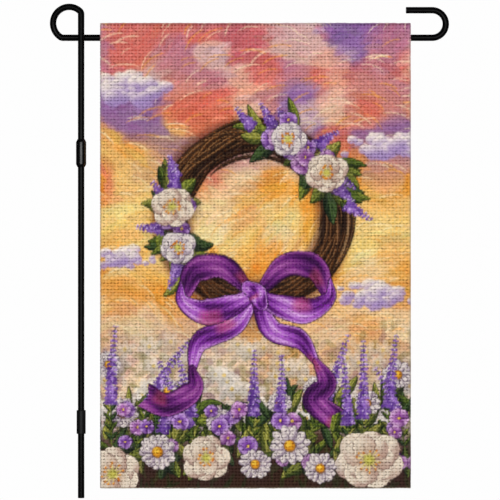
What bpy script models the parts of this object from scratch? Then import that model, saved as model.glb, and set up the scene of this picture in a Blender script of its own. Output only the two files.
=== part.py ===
"""Burlap garden flag hanging on a bent-rod flag stand, modelled at real size in metres.

X runs along the flag's width, Z is up and Y runs from the printed face to the back.
The origin is the centre of the flat lower end of the pole.
"""
import math

import bmesh
import bpy
from mathutils import Matrix, Vector

MM = 0.001

# Rod and pole
ROD_DIAMETER = 6.35 * MM
ROD_RADIUS = ROD_DIAMETER / 2
TOUCH_GAP = 0.3 * MM
ROD_SIDES = 16
ROD_BEVEL_RESOLUTION = 6

# Arm, top loop and end hook, all measured to the middle of the rod
ARM_HEIGHT = 452.0 * MM
ARM_SET_BACK = ROD_DIAMETER + TOUCH_GAP
LOOP_RADIUS = 15.9 * MM
LOOP_LEFT_OF_POLE = 12.0 * MM
LOOP_ABOVE_ARM = 14.0 * MM
LOOP_BEND = 4.5 * MM
HOOK_RISE = 27.1 * MM
HOOK_REACH = 358.2 * MM
HOOK_TIP = 319.0 * MM
LOOP_STEPS = 20
BEND_STEPS = 4
HOOK_STEPS = 16

# Sleeves that join the pole's lengths
UPPER_SLEEVE_BOTTOM = 324.6 * MM
UPPER_SLEEVE_LENGTH = 27.4 * MM
UPPER_SLEEVE_DIAMETER = 10.0 * MM
UPPER_SLEEVE_TAPER = 2.8 * MM
UPPER_SLEEVE_END_DIAMETER = 7.9 * MM
LOWER_SLEEVE_BOTTOM = 63.0 * MM
LOWER_SLEEVE_LENGTH = 23.2 * MM
LOWER_SLEEVE_DIAMETER = 8.9 * MM
LOWER_SLEEVE_EDGE = 0.4 * MM
SLEEVE_BORE = ROD_DIAMETER + 2 * TOUCH_GAP
SLEEVE_SIDES = 28

# Flag, hung by a pocket that the arm runs through; its hems are folded to the back
FLAG_WIDTH = 304.8 * MM
FLAG_HEIGHT = 457.2 * MM
FLAG_LEFT = 18.6 * MM
FLAG_BOTTOM = 9.2 * MM
CLOTH_THICKNESS = 1.2 * MM
LAYER_GAP = 0.3 * MM
HEADER_HEIGHT = 9.5 * MM
HEADER_BEND = 1.6 * MM
POCKET_DEPTH = 38.0 * MM
POCKET_FOOT_BEND = 14.0 * MM
POCKET_ALLOWANCE = 8.0 * MM
BOTTOM_HEM = 12.0 * MM
SIDE_HEM = 10.0 * MM
SIDE_HEM_EXTRA = 1.2 * MM
SIDE_HEM_STEP = 1.2 * MM
SIDE_HEM_RAMP = 2.5 * MM
SIDE_HEM_CLEAR = 1.0 * MM
STATION_SPACING = 19.0 * MM
ROW_SPACING = 28.0 * MM
STEP_ANGLE = math.radians(20)
SHARPEST_MITRE = 0.5
TINY = 0.001 * MM

# Slow ripples of the hanging cloth: depth, length across, turns of lean down the flag, turns at the left
RIPPLES = (
    {"depth": 0.7 * MM, "length": 150.0 * MM, "lean": 0.05, "start": 0.10},
    {"depth": 0.3 * MM, "length": 88.0 * MM, "lean": 0.64, "start": 0.0},
)
RIPPLE_FREE_BELOW = 60.0 * MM

FLAG_TOP = FLAG_BOTTOM + FLAG_HEIGHT
FRONT_Y = ARM_SET_BACK - ROD_RADIUS - TOUCH_GAP - CLOTH_THICKNESS / 2
BACK_Y = FRONT_Y + CLOTH_THICKNESS + LAYER_GAP
POCKET_END = FLAG_TOP - POCKET_DEPTH - POCKET_ALLOWANCE
SIDE_HEM_LOW = FLAG_BOTTOM + BOTTOM_HEM + SIDE_HEM_CLEAR
SIDE_HEM_HIGH = POCKET_END - SIDE_HEM_CLEAR


def clear_scene():
    for ob in list(bpy.data.objects):
        bpy.data.objects.remove(ob, do_unlink=True)


def paint(name, colour, roughness, metallic=0.0):
    """A plain Principled material."""
    mat = bpy.data.materials.new(name)
    mat.use_nodes = True
    shader = mat.node_tree.nodes["Principled BSDF"]
    shader.inputs["Base Color"].default_value = (*colour, 1.0)
    shader.inputs["Roughness"].default_value = roughness
    shader.inputs["Metallic"].default_value = metallic
    return mat


def arc(centre, radius, start, turn, steps):
    """Points (across, up) on an arc, angles in degrees, the start left out."""
    points = []
    for i in range(1, steps + 1):
        angle = math.radians(start + turn * i / steps)
        points.append((centre[0] + radius * math.cos(angle), centre[1] + radius * math.sin(angle)))
    return points


def smooth(t):
    """Eases from 0 to 1 with level ends."""
    t = min(max(t, 0.0), 1.0)
    return t * t * (3 - 2 * t)


def loop_outline():
    """Middle line of the loop: a tight bend off the pole, the round loop, a tight bend into the arm."""
    centre = (-LOOP_LEFT_OF_POLE, ARM_HEIGHT + LOOP_ABOVE_ARM)
    apart = LOOP_RADIUS - LOOP_BEND
    across = LOOP_LEFT_OF_POLE - LOOP_BEND
    down = LOOP_ABOVE_ARM - LOOP_BEND
    pole_bend = (-LOOP_BEND, centre[1] + math.sqrt(apart**2 - across**2))
    arm_bend = (centre[0] - math.sqrt(apart**2 - down**2), ARM_HEIGHT + LOOP_BEND)
    first = math.degrees(math.acos(across / apart))
    last = 180 + math.degrees(math.asin(down / apart))
    loop = [(0.0, pole_bend[1])]
    loop += arc(pole_bend, LOOP_BEND, 0, first, BEND_STEPS)
    loop += arc(centre, LOOP_RADIUS, first, last - first, LOOP_STEPS)
    loop += arc(arm_bend, LOOP_BEND, last, 270 - last, BEND_STEPS)
    return loop


def hanger_route(pole_end):
    """Middle line of the top rod: up the pole, round the loop, along the arm and back in the hook."""
    loop = loop_outline()
    lengths = [0.0]
    for a, b in zip(loop, loop[1:]):
        lengths.append(lengths[-1] + math.dist(a, b))
    route = [Vector((0.0, 0.0, pole_end))]
    for (x, z), run in zip(loop, lengths):
        route.append(Vector((x, ARM_SET_BACK * smooth(run / lengths[-1]), z)))

    hook_radius = HOOK_RISE / 2
    hook_centre = (HOOK_REACH - hook_radius, ARM_HEIGHT + hook_radius)
    route.append(Vector((hook_centre[0], ARM_SET_BACK, ARM_HEIGHT)))
    for x, z in arc(hook_centre, hook_radius, -90, 180, HOOK_STEPS):
        route.append(Vector((x, ARM_SET_BACK, z)))
    route.append(Vector((HOOK_TIP, ARM_SET_BACK, ARM_HEIGHT + HOOK_RISE)))
    return route


def bent_rod(name, route, mat, home):
    """A round rod along a route, with flat ends."""
    curve = bpy.data.curves.new(name, "CURVE")
    curve.dimensions = "3D"
    curve.bevel_depth = ROD_RADIUS
    curve.bevel_resolution = ROD_BEVEL_RESOLUTION
    curve.use_fill_caps = True
    spline = curve.splines.new("POLY")
    spline.points.add(len(route) - 1)
    for point, place in zip(spline.points, route):
        point.co = (*place, 1.0)
    spline.use_smooth = True
    curve.materials.append(mat)
    ob = bpy.data.objects.new(name, curve)
    home.objects.link(ob)
    return ob


def straight_rod(name, bottom, top, mat, home):
    """A length of pole standing on the pole's axis."""
    mesh = bpy.data.meshes.new(name)
    bm = bmesh.new()
    bmesh.ops.create_cone(bm, cap_ends=True, segments=ROD_SIDES, radius1=ROD_RADIUS,
                          radius2=ROD_RADIUS, depth=top - bottom,
                          matrix=Matrix.Translation((0, 0, (top - bottom) / 2)))
    bm.to_mesh(mesh)
    bm.free()
    mesh.shade_smooth()
    mesh.set_sharp_from_angle(angle=math.radians(40))
    mesh.materials.append(mat)
    ob = bpy.data.objects.new(name, mesh)
    ob.location = (0, 0, bottom)
    home.objects.link(ob)
    return ob


def turned_sleeve(name, profile, bottom, mat, home):
    """A sleeve turned from a closed profile of (radius, height) points, outer side top to bottom."""
    mesh = bpy.data.meshes.new(name)
    bm = bmesh.new()
    verts = [bm.verts.new((radius, 0, height)) for radius, height in profile]
    for a, b in zip(verts, verts[1:] + verts[:1]):
        bm.edges.new((a, b))
    bm.to_mesh(mesh)
    bm.free()
    mesh.materials.append(mat)
    ob = bpy.data.objects.new(name, mesh)
    ob.location = (0, 0, bottom)
    home.objects.link(ob)
    turn = ob.modifiers.new("Turn", "SCREW")
    turn.axis = "Z"
    turn.angle = 2 * math.pi
    turn.steps = SLEEVE_SIDES
    turn.render_steps = SLEEVE_SIDES
    turn.use_merge_vertices = True
    turn.merge_threshold = 0.00001
    turn.use_smooth_shade = False
    return ob


def upper_sleeve_profile():
    """Tapered at both ends."""
    body = UPPER_SLEEVE_DIAMETER / 2
    end = UPPER_SLEEVE_END_DIAMETER / 2
    bore = SLEEVE_BORE / 2
    top = UPPER_SLEEVE_LENGTH
    return [
        (end, top),
        (body, top - UPPER_SLEEVE_TAPER),
        (body, UPPER_SLEEVE_TAPER),
        (end, 0.0),
        (bore, 0.0),
        (bore, top),
    ]


def lower_sleeve_profile():
    """Straight, with its outer edges just broken."""
    body = LOWER_SLEEVE_DIAMETER / 2
    bore = SLEEVE_BORE / 2
    top = LOWER_SLEEVE_LENGTH
    edge = LOWER_SLEEVE_EDGE
    return [
        (body - edge, top),
        (body, top - edge),
        (body, edge),
        (body - edge, 0.0),
        (bore, 0.0),
        (bore, top),
    ]


def heading(direction):
    """A unit vector from an angle in the cloth's (y, z) section."""
    return Vector((math.cos(direction), math.sin(direction)))


def tangent_from(point, centre, radius, side):
    """Direction from a point to a circle's tangent, on the side given by +1 or -1."""
    to_centre = centre - point
    return heading(math.atan2(to_centre.y, to_centre.x) + side * math.asin(radius / to_centre.length))


def crossing(a, a_way, b, b_way):
    """Where two lines in the section meet."""
    span = b - a
    cross = a_way.x * b_way.y - a_way.y * b_way.x
    return a + a_way * ((span.x * b_way.y - span.y * b_way.x) / cross)


def rounded(corners):
    """A path through (point, radius) corners, each corner turned on its radius."""
    path = [corners[0][0]]
    for (before, _), (here, radius), (after, _) in zip(corners, corners[1:], corners[2:]):
        way_in = (here - before).normalized()
        way_out = (after - here).normalized()
        turn = -way_in.angle_signed(way_out)
        reach = radius * math.tan(abs(turn) / 2)
        start = here - way_in * reach
        side = Vector((-way_in.y, way_in.x)) * math.copysign(1.0, turn)
        centre = start + side * radius
        steps = max(2, round(abs(turn) / STEP_ANGLE))
        for i in range(steps + 1):
            swung = Matrix.Rotation(turn * i / steps, 2) @ (start - centre)
            path.append(centre + swung)
    path.append(corners[-1][0])
    return [p for i, p in enumerate(path) if i == 0 or (p - path[i - 1]).length > TINY]


def cloth_path():
    """Middle line of the cloth in (y, z): bottom hem, front, top fold, header, rod pocket, seam."""
    rod = Vector((ARM_SET_BACK, ARM_HEIGHT))
    wrap = ROD_RADIUS + TOUCH_GAP + CLOTH_THICKNESS / 2
    half = CLOTH_THICKNESS / 2
    fold = (BACK_Y - FRONT_Y) / 2
    header_foot = Vector((BACK_Y, FLAG_TOP - HEADER_HEIGHT))
    pocket_foot = Vector((BACK_Y, FLAG_TOP - POCKET_DEPTH))
    over_rod = crossing(
        header_foot, tangent_from(header_foot, rod, wrap, 1),
        pocket_foot, tangent_from(pocket_foot, rod, wrap, -1),
    )
    corners = [
        (Vector((BACK_Y, FLAG_BOTTOM + BOTTOM_HEM)), 0.0),
        (Vector((BACK_Y, FLAG_BOTTOM + half)), fold),
        (Vector((FRONT_Y, FLAG_BOTTOM + half)), fold),
        (Vector((FRONT_Y, FLAG_TOP - half)), fold),
        (Vector((BACK_Y, FLAG_TOP - half)), fold),
        (header_foot, HEADER_BEND),
        (over_rod, wrap),
        (pocket_foot, POCKET_FOOT_BEND),
        (Vector((BACK_Y, POCKET_END)), 0.0),
    ]
    return with_rows(rounded(corners))


def front_rows():
    """Heights of rows on the front, which let it bow and start and stop its side hems."""
    first = SIDE_HEM_LOW + SIDE_HEM_RAMP
    last = SIDE_HEM_HIGH - SIDE_HEM_RAMP
    count = round((last - first) / ROW_SPACING)
    even = [first + (last - first) * i / count for i in range(count + 1)]
    return [SIDE_HEM_LOW, *even, SIDE_HEM_HIGH]


def with_rows(path):
    """Adds the front's rows to the path's one long stretch."""
    out = [path[0]]
    for a, b in zip(path, path[1:]):
        if (b - a).length > FLAG_HEIGHT / 2:
            out += [Vector((FRONT_Y, z)) for z in front_rows()]
        out.append(b)
    return out


def ripple(x, z):
    """How far the hanging cloth stands off its flat plane, nothing where the rod holds it."""
    drop = (FLAG_TOP - RIPPLE_FREE_BELOW - z) / (FLAG_HEIGHT - RIPPLE_FREE_BELOW)
    height = (z - FLAG_BOTTOM) / FLAG_HEIGHT
    bow = 0.0
    for wave in RIPPLES:
        turns = (x - FLAG_LEFT) / wave["length"] + wave["lean"] * height + wave["start"]
        bow += wave["depth"] * math.sin(2 * math.pi * turns)
    return smooth(drop) * bow


def side_hem_share(x, z):
    """1 where the side hem doubles the front sheet, 0 elsewhere."""
    inset = min(x - FLAG_LEFT, FLAG_LEFT + FLAG_WIDTH - x)
    if inset > SIDE_HEM + TINY:
        return 0.0
    along = min(z - SIDE_HEM_LOW, SIDE_HEM_HIGH - z) / SIDE_HEM_RAMP
    return min(max(along, 0.0), 1.0)


def cloth_section(path, x):
    """Closed outline of the folded cloth where it is cut at x."""
    half = CLOTH_THICKNESS / 2
    left = []
    right = []
    for i, here in enumerate(path):
        before = path[max(i - 1, 0)]
        after = path[min(i + 1, len(path) - 1)]
        way_in = (here - before).normalized() if i else (after - here).normalized()
        way_out = (after - here).normalized() if i < len(path) - 1 else way_in
        mean = (way_in + way_out).normalized()
        normal = Vector((-mean.y, mean.x))
        reach = half / max(mean.dot(way_in), SHARPEST_MITRE)
        on_front = abs(here.x - FRONT_Y) < TINY
        extra = SIDE_HEM_EXTRA * side_hem_share(x, here.y) if on_front else 0.0
        left.append(here + normal * reach)
        right.append(here - normal * (reach + extra))
    outline = left + right[::-1]
    return [Vector((x, p.x + ripple(x, p.y), p.y)) for p in outline]


def stations():
    """Places across the flag where a section is cut."""
    hem = [0.0, SIDE_HEM, SIDE_HEM + SIDE_HEM_STEP]
    inner = FLAG_WIDTH - 2 * hem[-1]
    count = round(inner / STATION_SPACING)
    middle = [hem[-1] + inner * i / count for i in range(1, count)]
    return [FLAG_LEFT + s for s in hem + middle + [FLAG_WIDTH - h for h in reversed(hem)]]


def flag_cloth(mat, home):
    """One folded sheet, lofted through its sections from one side edge to the other."""
    path = cloth_path()
    bm = bmesh.new()
    loops = []
    for x in stations():
        ring = [bm.verts.new(p) for p in cloth_section(path, x)]
        loops.append([bm.edges.new((a, b)) for a, b in zip(ring, ring[1:] + ring[:1])])
    for near, far in zip(loops, loops[1:]):
        bmesh.ops.bridge_loops(bm, edges=near + far)
    for end in (loops[0], loops[-1]):
        bmesh.ops.contextual_create(bm, geom=end)
    bmesh.ops.recalc_face_normals(bm, faces=bm.faces)
    mesh = bpy.data.meshes.new("flag_cloth")
    bm.to_mesh(mesh)
    bm.free()
    mesh.shade_smooth()
    mesh.set_sharp_from_angle(angle=math.radians(50))
    mesh.materials.append(mat)
    ob = bpy.data.objects.new("flag_cloth", mesh)
    home.objects.link(ob)
    return ob


def main():
    clear_scene()
    home = bpy.data.collections.new("Burlap garden flag on its stand")
    bpy.context.scene.collection.children.link(home)

    gloss_black = paint("Gloss black rod paint", (0.012, 0.012, 0.013), 0.28)
    black_plastic = paint("Black sleeve plastic", (0.018, 0.018, 0.019), 0.38)
    grey_rubber = paint("Dark grey sleeve rubber", (0.02, 0.02, 0.021), 0.7)
    burlap = paint("Printed burlap", (0.47, 0.31, 0.25), 0.92)

    upper_joint = UPPER_SLEEVE_BOTTOM + UPPER_SLEEVE_LENGTH / 2
    lower_joint = LOWER_SLEEVE_BOTTOM + LOWER_SLEEVE_LENGTH / 2
    half_gap = TOUCH_GAP / 2
    bent_rod("hanger_rod", hanger_route(upper_joint + half_gap), gloss_black, home)
    straight_rod("middle_rod", lower_joint + half_gap, upper_joint - half_gap, gloss_black, home)
    straight_rod("lower_rod", 0.0, lower_joint - half_gap, gloss_black, home)
    turned_sleeve("upper_sleeve", upper_sleeve_profile(), UPPER_SLEEVE_BOTTOM, black_plastic, home)
    turned_sleeve("lower_sleeve", lower_sleeve_profile(), LOWER_SLEEVE_BOTTOM, grey_rubber, home)
    flag_cloth(burlap, home)


main()
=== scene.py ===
"""Looks of the burlap garden flag on its stand: woven and printed cloth, painted rod, sleeves, studio."""

import math

import bmesh
import bpy
import numpy as np
from mathutils import Matrix, Vector


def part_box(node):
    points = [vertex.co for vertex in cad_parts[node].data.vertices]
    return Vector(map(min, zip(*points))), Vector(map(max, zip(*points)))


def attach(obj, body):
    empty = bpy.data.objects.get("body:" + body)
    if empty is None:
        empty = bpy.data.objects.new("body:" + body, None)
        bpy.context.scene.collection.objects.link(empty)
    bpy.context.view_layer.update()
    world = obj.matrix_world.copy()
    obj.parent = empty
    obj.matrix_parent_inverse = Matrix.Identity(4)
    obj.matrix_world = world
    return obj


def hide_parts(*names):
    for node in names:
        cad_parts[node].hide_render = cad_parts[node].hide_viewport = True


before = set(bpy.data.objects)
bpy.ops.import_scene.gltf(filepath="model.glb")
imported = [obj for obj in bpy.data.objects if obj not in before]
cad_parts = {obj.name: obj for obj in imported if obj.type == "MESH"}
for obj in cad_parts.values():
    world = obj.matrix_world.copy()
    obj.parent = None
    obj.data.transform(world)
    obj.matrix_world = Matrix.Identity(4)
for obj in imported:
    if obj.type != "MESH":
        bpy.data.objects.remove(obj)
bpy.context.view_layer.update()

MM = 0.001
BODY = "root"

# Places taken from the fixed frame
cloth_low, cloth_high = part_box("flag_cloth")
upper_low, upper_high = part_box("upper_sleeve")
lower_low, lower_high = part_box("lower_sleeve")
middle_low, middle_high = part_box("middle_rod")
foot_low, foot_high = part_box("lower_rod")
hanger_low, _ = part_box("hanger_rod")

FLAG_LEFT = cloth_low.x
FLAG_RIGHT = cloth_high.x
FLAG_BOTTOM = cloth_low.z
FLAG_TOP = cloth_high.z
FLAG_WIDTH = FLAG_RIGHT - FLAG_LEFT
FLAG_HEIGHT = FLAG_TOP - FLAG_BOTTOM

# Rod and sleeves, as the solids have them
ROD_RADIUS = 3.175 * MM
TOUCH_GAP = 0.3 * MM
ARM_HEIGHT = 452.0 * MM
ARM_SET_BACK = 2 * ROD_RADIUS + TOUCH_GAP
LOOP_RADIUS = 15.9 * MM
LOOP_LEFT_OF_POLE = 12.0 * MM
LOOP_ABOVE_ARM = 14.0 * MM
LOOP_BEND = 4.5 * MM
HOOK_RISE = 27.1 * MM
HOOK_REACH = 358.2 * MM
HOOK_TIP = 319.0 * MM
SLEEVE_BORE_RADIUS = ROD_RADIUS + TOUCH_GAP
UPPER_SLEEVE_TAPER = 2.8 * MM
UPPER_SLEEVE_END_RADIUS = 3.60 * MM
LOWER_SLEEVE_EDGE = 0.4 * MM
LOWER_SLEEVE_EDGE_MIDDLE = 0.12 * MM
ROD_SIDES = 40
ROD_EDGE = 0.35 * MM
MIDDLE_ROD_RING = 200 * MM
FOOT_ROD_RING = 40 * MM
LOOP_STEPS = 48
BEND_STEPS = 8
HOOK_STEPS = 40
SLEEVE_SIDES = 56

# Cloth, as the solids have it
CLOTH_THICKNESS = 1.2 * MM
LAYER_GAP = 0.3 * MM
HEADER_HEIGHT = 9.5 * MM
HEADER_BEND = 1.6 * MM
POCKET_DEPTH = 38.0 * MM
POCKET_FOOT_BEND = 14.0 * MM
POCKET_ALLOWANCE = 8.0 * MM
BOTTOM_HEM = 12.0 * MM
SIDE_HEM = 10.0 * MM
HEM_CLEAR = 1.0 * MM
FRONT_Y = ARM_SET_BACK - ROD_RADIUS - TOUCH_GAP - CLOTH_THICKNESS / 2
BACK_Y = FRONT_Y + CLOTH_THICKNESS + LAYER_GAP
POCKET_END = FLAG_TOP - POCKET_DEPTH - POCKET_ALLOWANCE
SIDE_HEM_LOW = FLAG_BOTTOM + BOTTOM_HEM + HEM_CLEAR
SIDE_HEM_HIGH = POCKET_END - HEM_CLEAR
RIPPLES = (
    {"depth": 0.7 * MM, "length": 150.0 * MM, "lean": 0.05, "start": 0.10},
    {"depth": 0.3 * MM, "length": 88.0 * MM, "lean": 0.64, "start": 0.0},
)
RIPPLE_FREE_BELOW = 60.0 * MM
FOLD_STEP = math.radians(4)
TINY = 0.001 * MM

# Weave: upright warp yarns across the flag, level weft yarns up its face
WARPS_ACROSS = 87
WEFTS_UP = 148
WARP_PITCH = FLAG_WIDTH / WARPS_ACROSS
WEFT_PITCH = FLAG_HEIGHT / WEFTS_UP
YARN_HEIGHT = 0.40 * MM
YARN_SIDES = 4
TONE_SPREAD = 0.035
WARP = {
    "upright": True, "first": 1.0, "pitch": WARP_PITCH, "crossing": WEFT_PITCH, "steps": 3,
    "width": 1.60 * MM, "crimp": 0.22 * MM, "tone": 0.93,
    "misplaced": 0.08 * MM, "wander": 0.12 * MM, "wander_reach": 30 * MM,
    "uneven": 0.06, "slubs": 0.08, "slub_reach": 8 * MM, "pressed": 0.92, "spread": 0.10,
}
WEFT = {
    "upright": False, "first": -1.0, "pitch": WEFT_PITCH, "crossing": WARP_PITCH, "steps": 4,
    "width": 2.50 * MM, "crimp": 0.10 * MM, "tone": 1.0,
    "misplaced": 0.06 * MM, "wander": 0.09 * MM, "wander_reach": 40 * MM,
    "uneven": 0.05, "slubs": 0.10, "slub_reach": 6 * MM, "pressed": 0.96, "spread": 0.05,
}
HEM_WARPS = 3
FRINGE = 0.22 * MM
SIDE_FOLD_RADIUS = 0.6 * MM
SIDE_FOLD_INSET = 0.46 * MM
STRIP_MARGIN = 0.05
END_BAND = 0.02
FIBRE_TURN = 1.4
FIBRE_STAGGER = 7.3

# Sheet inside the cloth that carries the painted shade of the pits
SHADE_SHEET_THICKNESS = 0.06 * MM
SHADE_SHEET_MARGIN = 0.6 * MM
SHADE_SHEET_ROWS = 170
SHADE_SHEET_SECTIONS = 88

# Stitches, with the distance of each row from the edge that it holds
THREAD_RADIUS = 0.24 * MM
THREAD_SINK = 0.12 * MM
THREAD_ARCH = 0.20 * MM
STITCH_LENGTH = 2.7 * MM
STITCH_PITCH = 3.3 * MM
STITCH_STEPS = 6
HEM_ROW = 2.5 * MM
HEADER_ROW = 1.0 * MM
POCKET_ROW = 3.2 * MM
SIDE_ROW = 2.4 * MM
LEVEL_ROW_ENDS = 3 * MM
UPRIGHT_ROW_ENDS = 2 * MM


def smooth(t):
    """Eases from 0 to 1 with level ends."""
    t = np.clip(t, 0.0, 1.0)
    return t * t * (3 - 2 * t)


def mesh_from(bm, name, sharpest):
    """A smooth mesh whose edges stay sharp where they turn by more than sharpest degrees."""
    mesh = bpy.data.meshes.new(name)
    bm.to_mesh(mesh)
    bm.free()
    mesh.shade_smooth()
    mesh.set_sharp_from_angle(angle=math.radians(sharpest))
    return mesh


def finished(name, mesh, mat):
    """A piece whose place is in its mesh."""
    mesh.materials.append(mat)
    piece = bpy.data.objects.new(name, mesh)
    bpy.context.scene.collection.objects.link(piece)
    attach(piece, BODY)
    return piece


# Rod


def arc(centre, radius, start, turn, steps):
    """Points (across, up) on an arc, angles in degrees, the start left out."""
    points = []
    for i in range(1, steps + 1):
        angle = math.radians(start + turn * i / steps)
        points.append((centre[0] + radius * math.cos(angle), centre[1] + radius * math.sin(angle)))
    return points


def loop_outline():
    """Middle line of the loop: a tight bend off the pole, the round loop, a tight bend into the arm."""
    centre = (-LOOP_LEFT_OF_POLE, ARM_HEIGHT + LOOP_ABOVE_ARM)
    apart = LOOP_RADIUS - LOOP_BEND
    across = LOOP_LEFT_OF_POLE - LOOP_BEND
    down = LOOP_ABOVE_ARM - LOOP_BEND
    pole_bend = (-LOOP_BEND, centre[1] + math.sqrt(apart**2 - across**2))
    arm_bend = (centre[0] - math.sqrt(apart**2 - down**2), ARM_HEIGHT + LOOP_BEND)
    first = math.degrees(math.acos(across / apart))
    last = 180 + math.degrees(math.asin(down / apart))
    loop = [(0.0, pole_bend[1])]
    loop += arc(pole_bend, LOOP_BEND, 0, first, BEND_STEPS)
    loop += arc(centre, LOOP_RADIUS, first, last - first, LOOP_STEPS)
    loop += arc(arm_bend, LOOP_BEND, last, 270 - last, BEND_STEPS)
    return loop


def hanger_route():
    """Middle line of the top rod: up the pole, round the loop, along the arm and back in the hook."""
    loop = loop_outline()
    lengths = [0.0]
    for a, b in zip(loop, loop[1:]):
        lengths.append(lengths[-1] + math.dist(a, b))
    route = [Vector((0.0, 0.0, hanger_low.z))]
    for (x, z), run in zip(loop, lengths):
        route.append(Vector((x, ARM_SET_BACK * float(smooth(run / lengths[-1])), z)))
    hook_radius = HOOK_RISE / 2
    hook_centre = (HOOK_REACH - hook_radius, ARM_HEIGHT + hook_radius)
    route.append(Vector((hook_centre[0], ARM_SET_BACK, ARM_HEIGHT)))
    for x, z in arc(hook_centre, hook_radius, -90, 180, HOOK_STEPS):
        route.append(Vector((x, ARM_SET_BACK, z)))
    route.append(Vector((HOOK_TIP, ARM_SET_BACK, ARM_HEIGHT + HOOK_RISE)))
    return route


def pole_route(*heights):
    """A straight length of the pole, through the given heights."""
    return [Vector((0, 0, height)) for height in heights]


def sweep_rod(name, route, mat):
    """A round rod drawn along a route, with its cut ends just broken."""
    bm = bmesh.new()
    ways = [(b - a).normalized() for a, b in zip(route, route[1:])]
    ways = [ways[0]] + [(a + b).normalized() for a, b in zip(ways, ways[1:])] + [ways[-1]]
    small = ROD_RADIUS - ROD_EDGE
    stops = [(route[0], ways[0], small), (route[0] + ways[0] * ROD_EDGE, ways[0], ROD_RADIUS)]
    stops += [(p, w, ROD_RADIUS) for p, w in zip(route[1:-1], ways[1:-1])]
    stops += [(route[-1] - ways[-1] * ROD_EDGE, ways[-1], ROD_RADIUS), (route[-1], ways[-1], small)]
    turn = Vector((0, 0, 1)).rotation_difference(ways[0]).to_matrix()
    ring = bmesh.ops.create_circle(bm, segments=ROD_SIDES, radius=1.0, cap_ends=True)["verts"]
    unit = [v.co.copy() for v in ring]
    way_before = ways[0]
    for i, (place, way, radius) in enumerate(stops):
        if i:
            on_ring = set(ring)
            edges = {e for v in ring for e in v.link_edges if e.other_vert(v) in on_ring}
            made = bmesh.ops.extrude_edge_only(bm, edges=list(edges))["geom"]
            partner = {}
            for v in made:
                if isinstance(v, bmesh.types.BMVert):
                    for e in v.link_edges:
                        if e.other_vert(v) in on_ring:
                            partner[e.other_vert(v)] = v
            ring = [partner[v] for v in ring]
            turn = way_before.rotation_difference(way).to_matrix() @ turn
        for v, local in zip(ring, unit):
            v.co = place + turn @ (local * radius)
        way_before = way
    bmesh.ops.contextual_create(bm, geom=ring)
    bmesh.ops.recalc_face_normals(bm, faces=bm.faces)
    return finished(name, mesh_from(bm, name, 35), mat)


def turned_sleeve(name, low, high, outer, mat):
    """A sleeve turned round the pole. outer holds (radius, rise) points up its lower half's side."""
    bottom = [(radius, low + rise) for radius, rise in outer]
    top = [(radius, high - rise) for radius, rise in reversed(outer)]
    profile = [(SLEEVE_BORE_RADIUS, low)] + bottom + top + [(SLEEVE_BORE_RADIUS, high)]
    bm = bmesh.new()
    verts = [bm.verts.new((radius, 0.0, height)) for radius, height in profile]
    edges = [bm.edges.new((a, b)) for a, b in zip(verts, verts[1:] + verts[:1])]
    bmesh.ops.spin(
        bm, geom=verts + edges, cent=(0, 0, 0), axis=(0, 0, 1), angle=2 * math.pi, steps=SLEEVE_SIDES,
        use_merge=True,
    )
    bmesh.ops.recalc_face_normals(bm, faces=bm.faces)
    if bm.calc_volume(signed=True) < 0:
        bmesh.ops.reverse_faces(bm, faces=bm.faces)
    return finished(name, mesh_from(bm, name, 20), mat)


def upper_sleeve(mat):
    """Tapered at both ends."""
    outer = [(UPPER_SLEEVE_END_RADIUS, 0.0), (upper_high.x, UPPER_SLEEVE_TAPER)]
    return turned_sleeve("upper_sleeve_skin", upper_low.z, upper_high.z, outer, mat)


def lower_sleeve(mat):
    """Straight, with its outer edges rounded."""
    wide, edge, middle = lower_high.x, LOWER_SLEEVE_EDGE, LOWER_SLEEVE_EDGE_MIDDLE
    outer = [(wide - edge, 0.0), (wide - middle, middle), (wide, edge)]
    return turned_sleeve("lower_sleeve_skin", lower_low.z, lower_high.z, outer, mat)


# Cloth path


def heading(direction):
    """A unit vector from an angle in the cloth's (y, z) section."""
    return Vector((math.cos(direction), math.sin(direction)))


def tangent_from(point, centre, radius, side):
    """Direction from a point to a circle's tangent, on the side given by +1 or -1."""
    to_centre = centre - point
    return heading(math.atan2(to_centre.y, to_centre.x) + side * math.asin(radius / to_centre.length))


def crossing(a, a_way, b, b_way):
    """Where two lines in the section meet."""
    span = b - a
    cross = a_way.x * b_way.y - a_way.y * b_way.x
    return a + a_way * ((span.x * b_way.y - span.y * b_way.x) / cross)


def rounded(corners):
    """A path through (point, radius) corners, each corner turned on its radius."""
    path = [corners[0][0]]
    for (before, _), (here, radius), (after, _) in zip(corners, corners[1:], corners[2:]):
        way_in = (here - before).normalized()
        way_out = (after - here).normalized()
        turn = -way_in.angle_signed(way_out)
        start = here - way_in * radius * math.tan(abs(turn) / 2)
        side = Vector((-way_in.y, way_in.x)) * math.copysign(1.0, turn)
        centre = start + side * radius
        steps = max(2, round(abs(turn) / FOLD_STEP))
        for i in range(steps + 1):
            path.append(centre + Matrix.Rotation(turn * i / steps, 2) @ (start - centre))
    path.append(corners[-1][0])
    return [p for i, p in enumerate(path) if i == 0 or (p - path[i - 1]).length > TINY]


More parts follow.
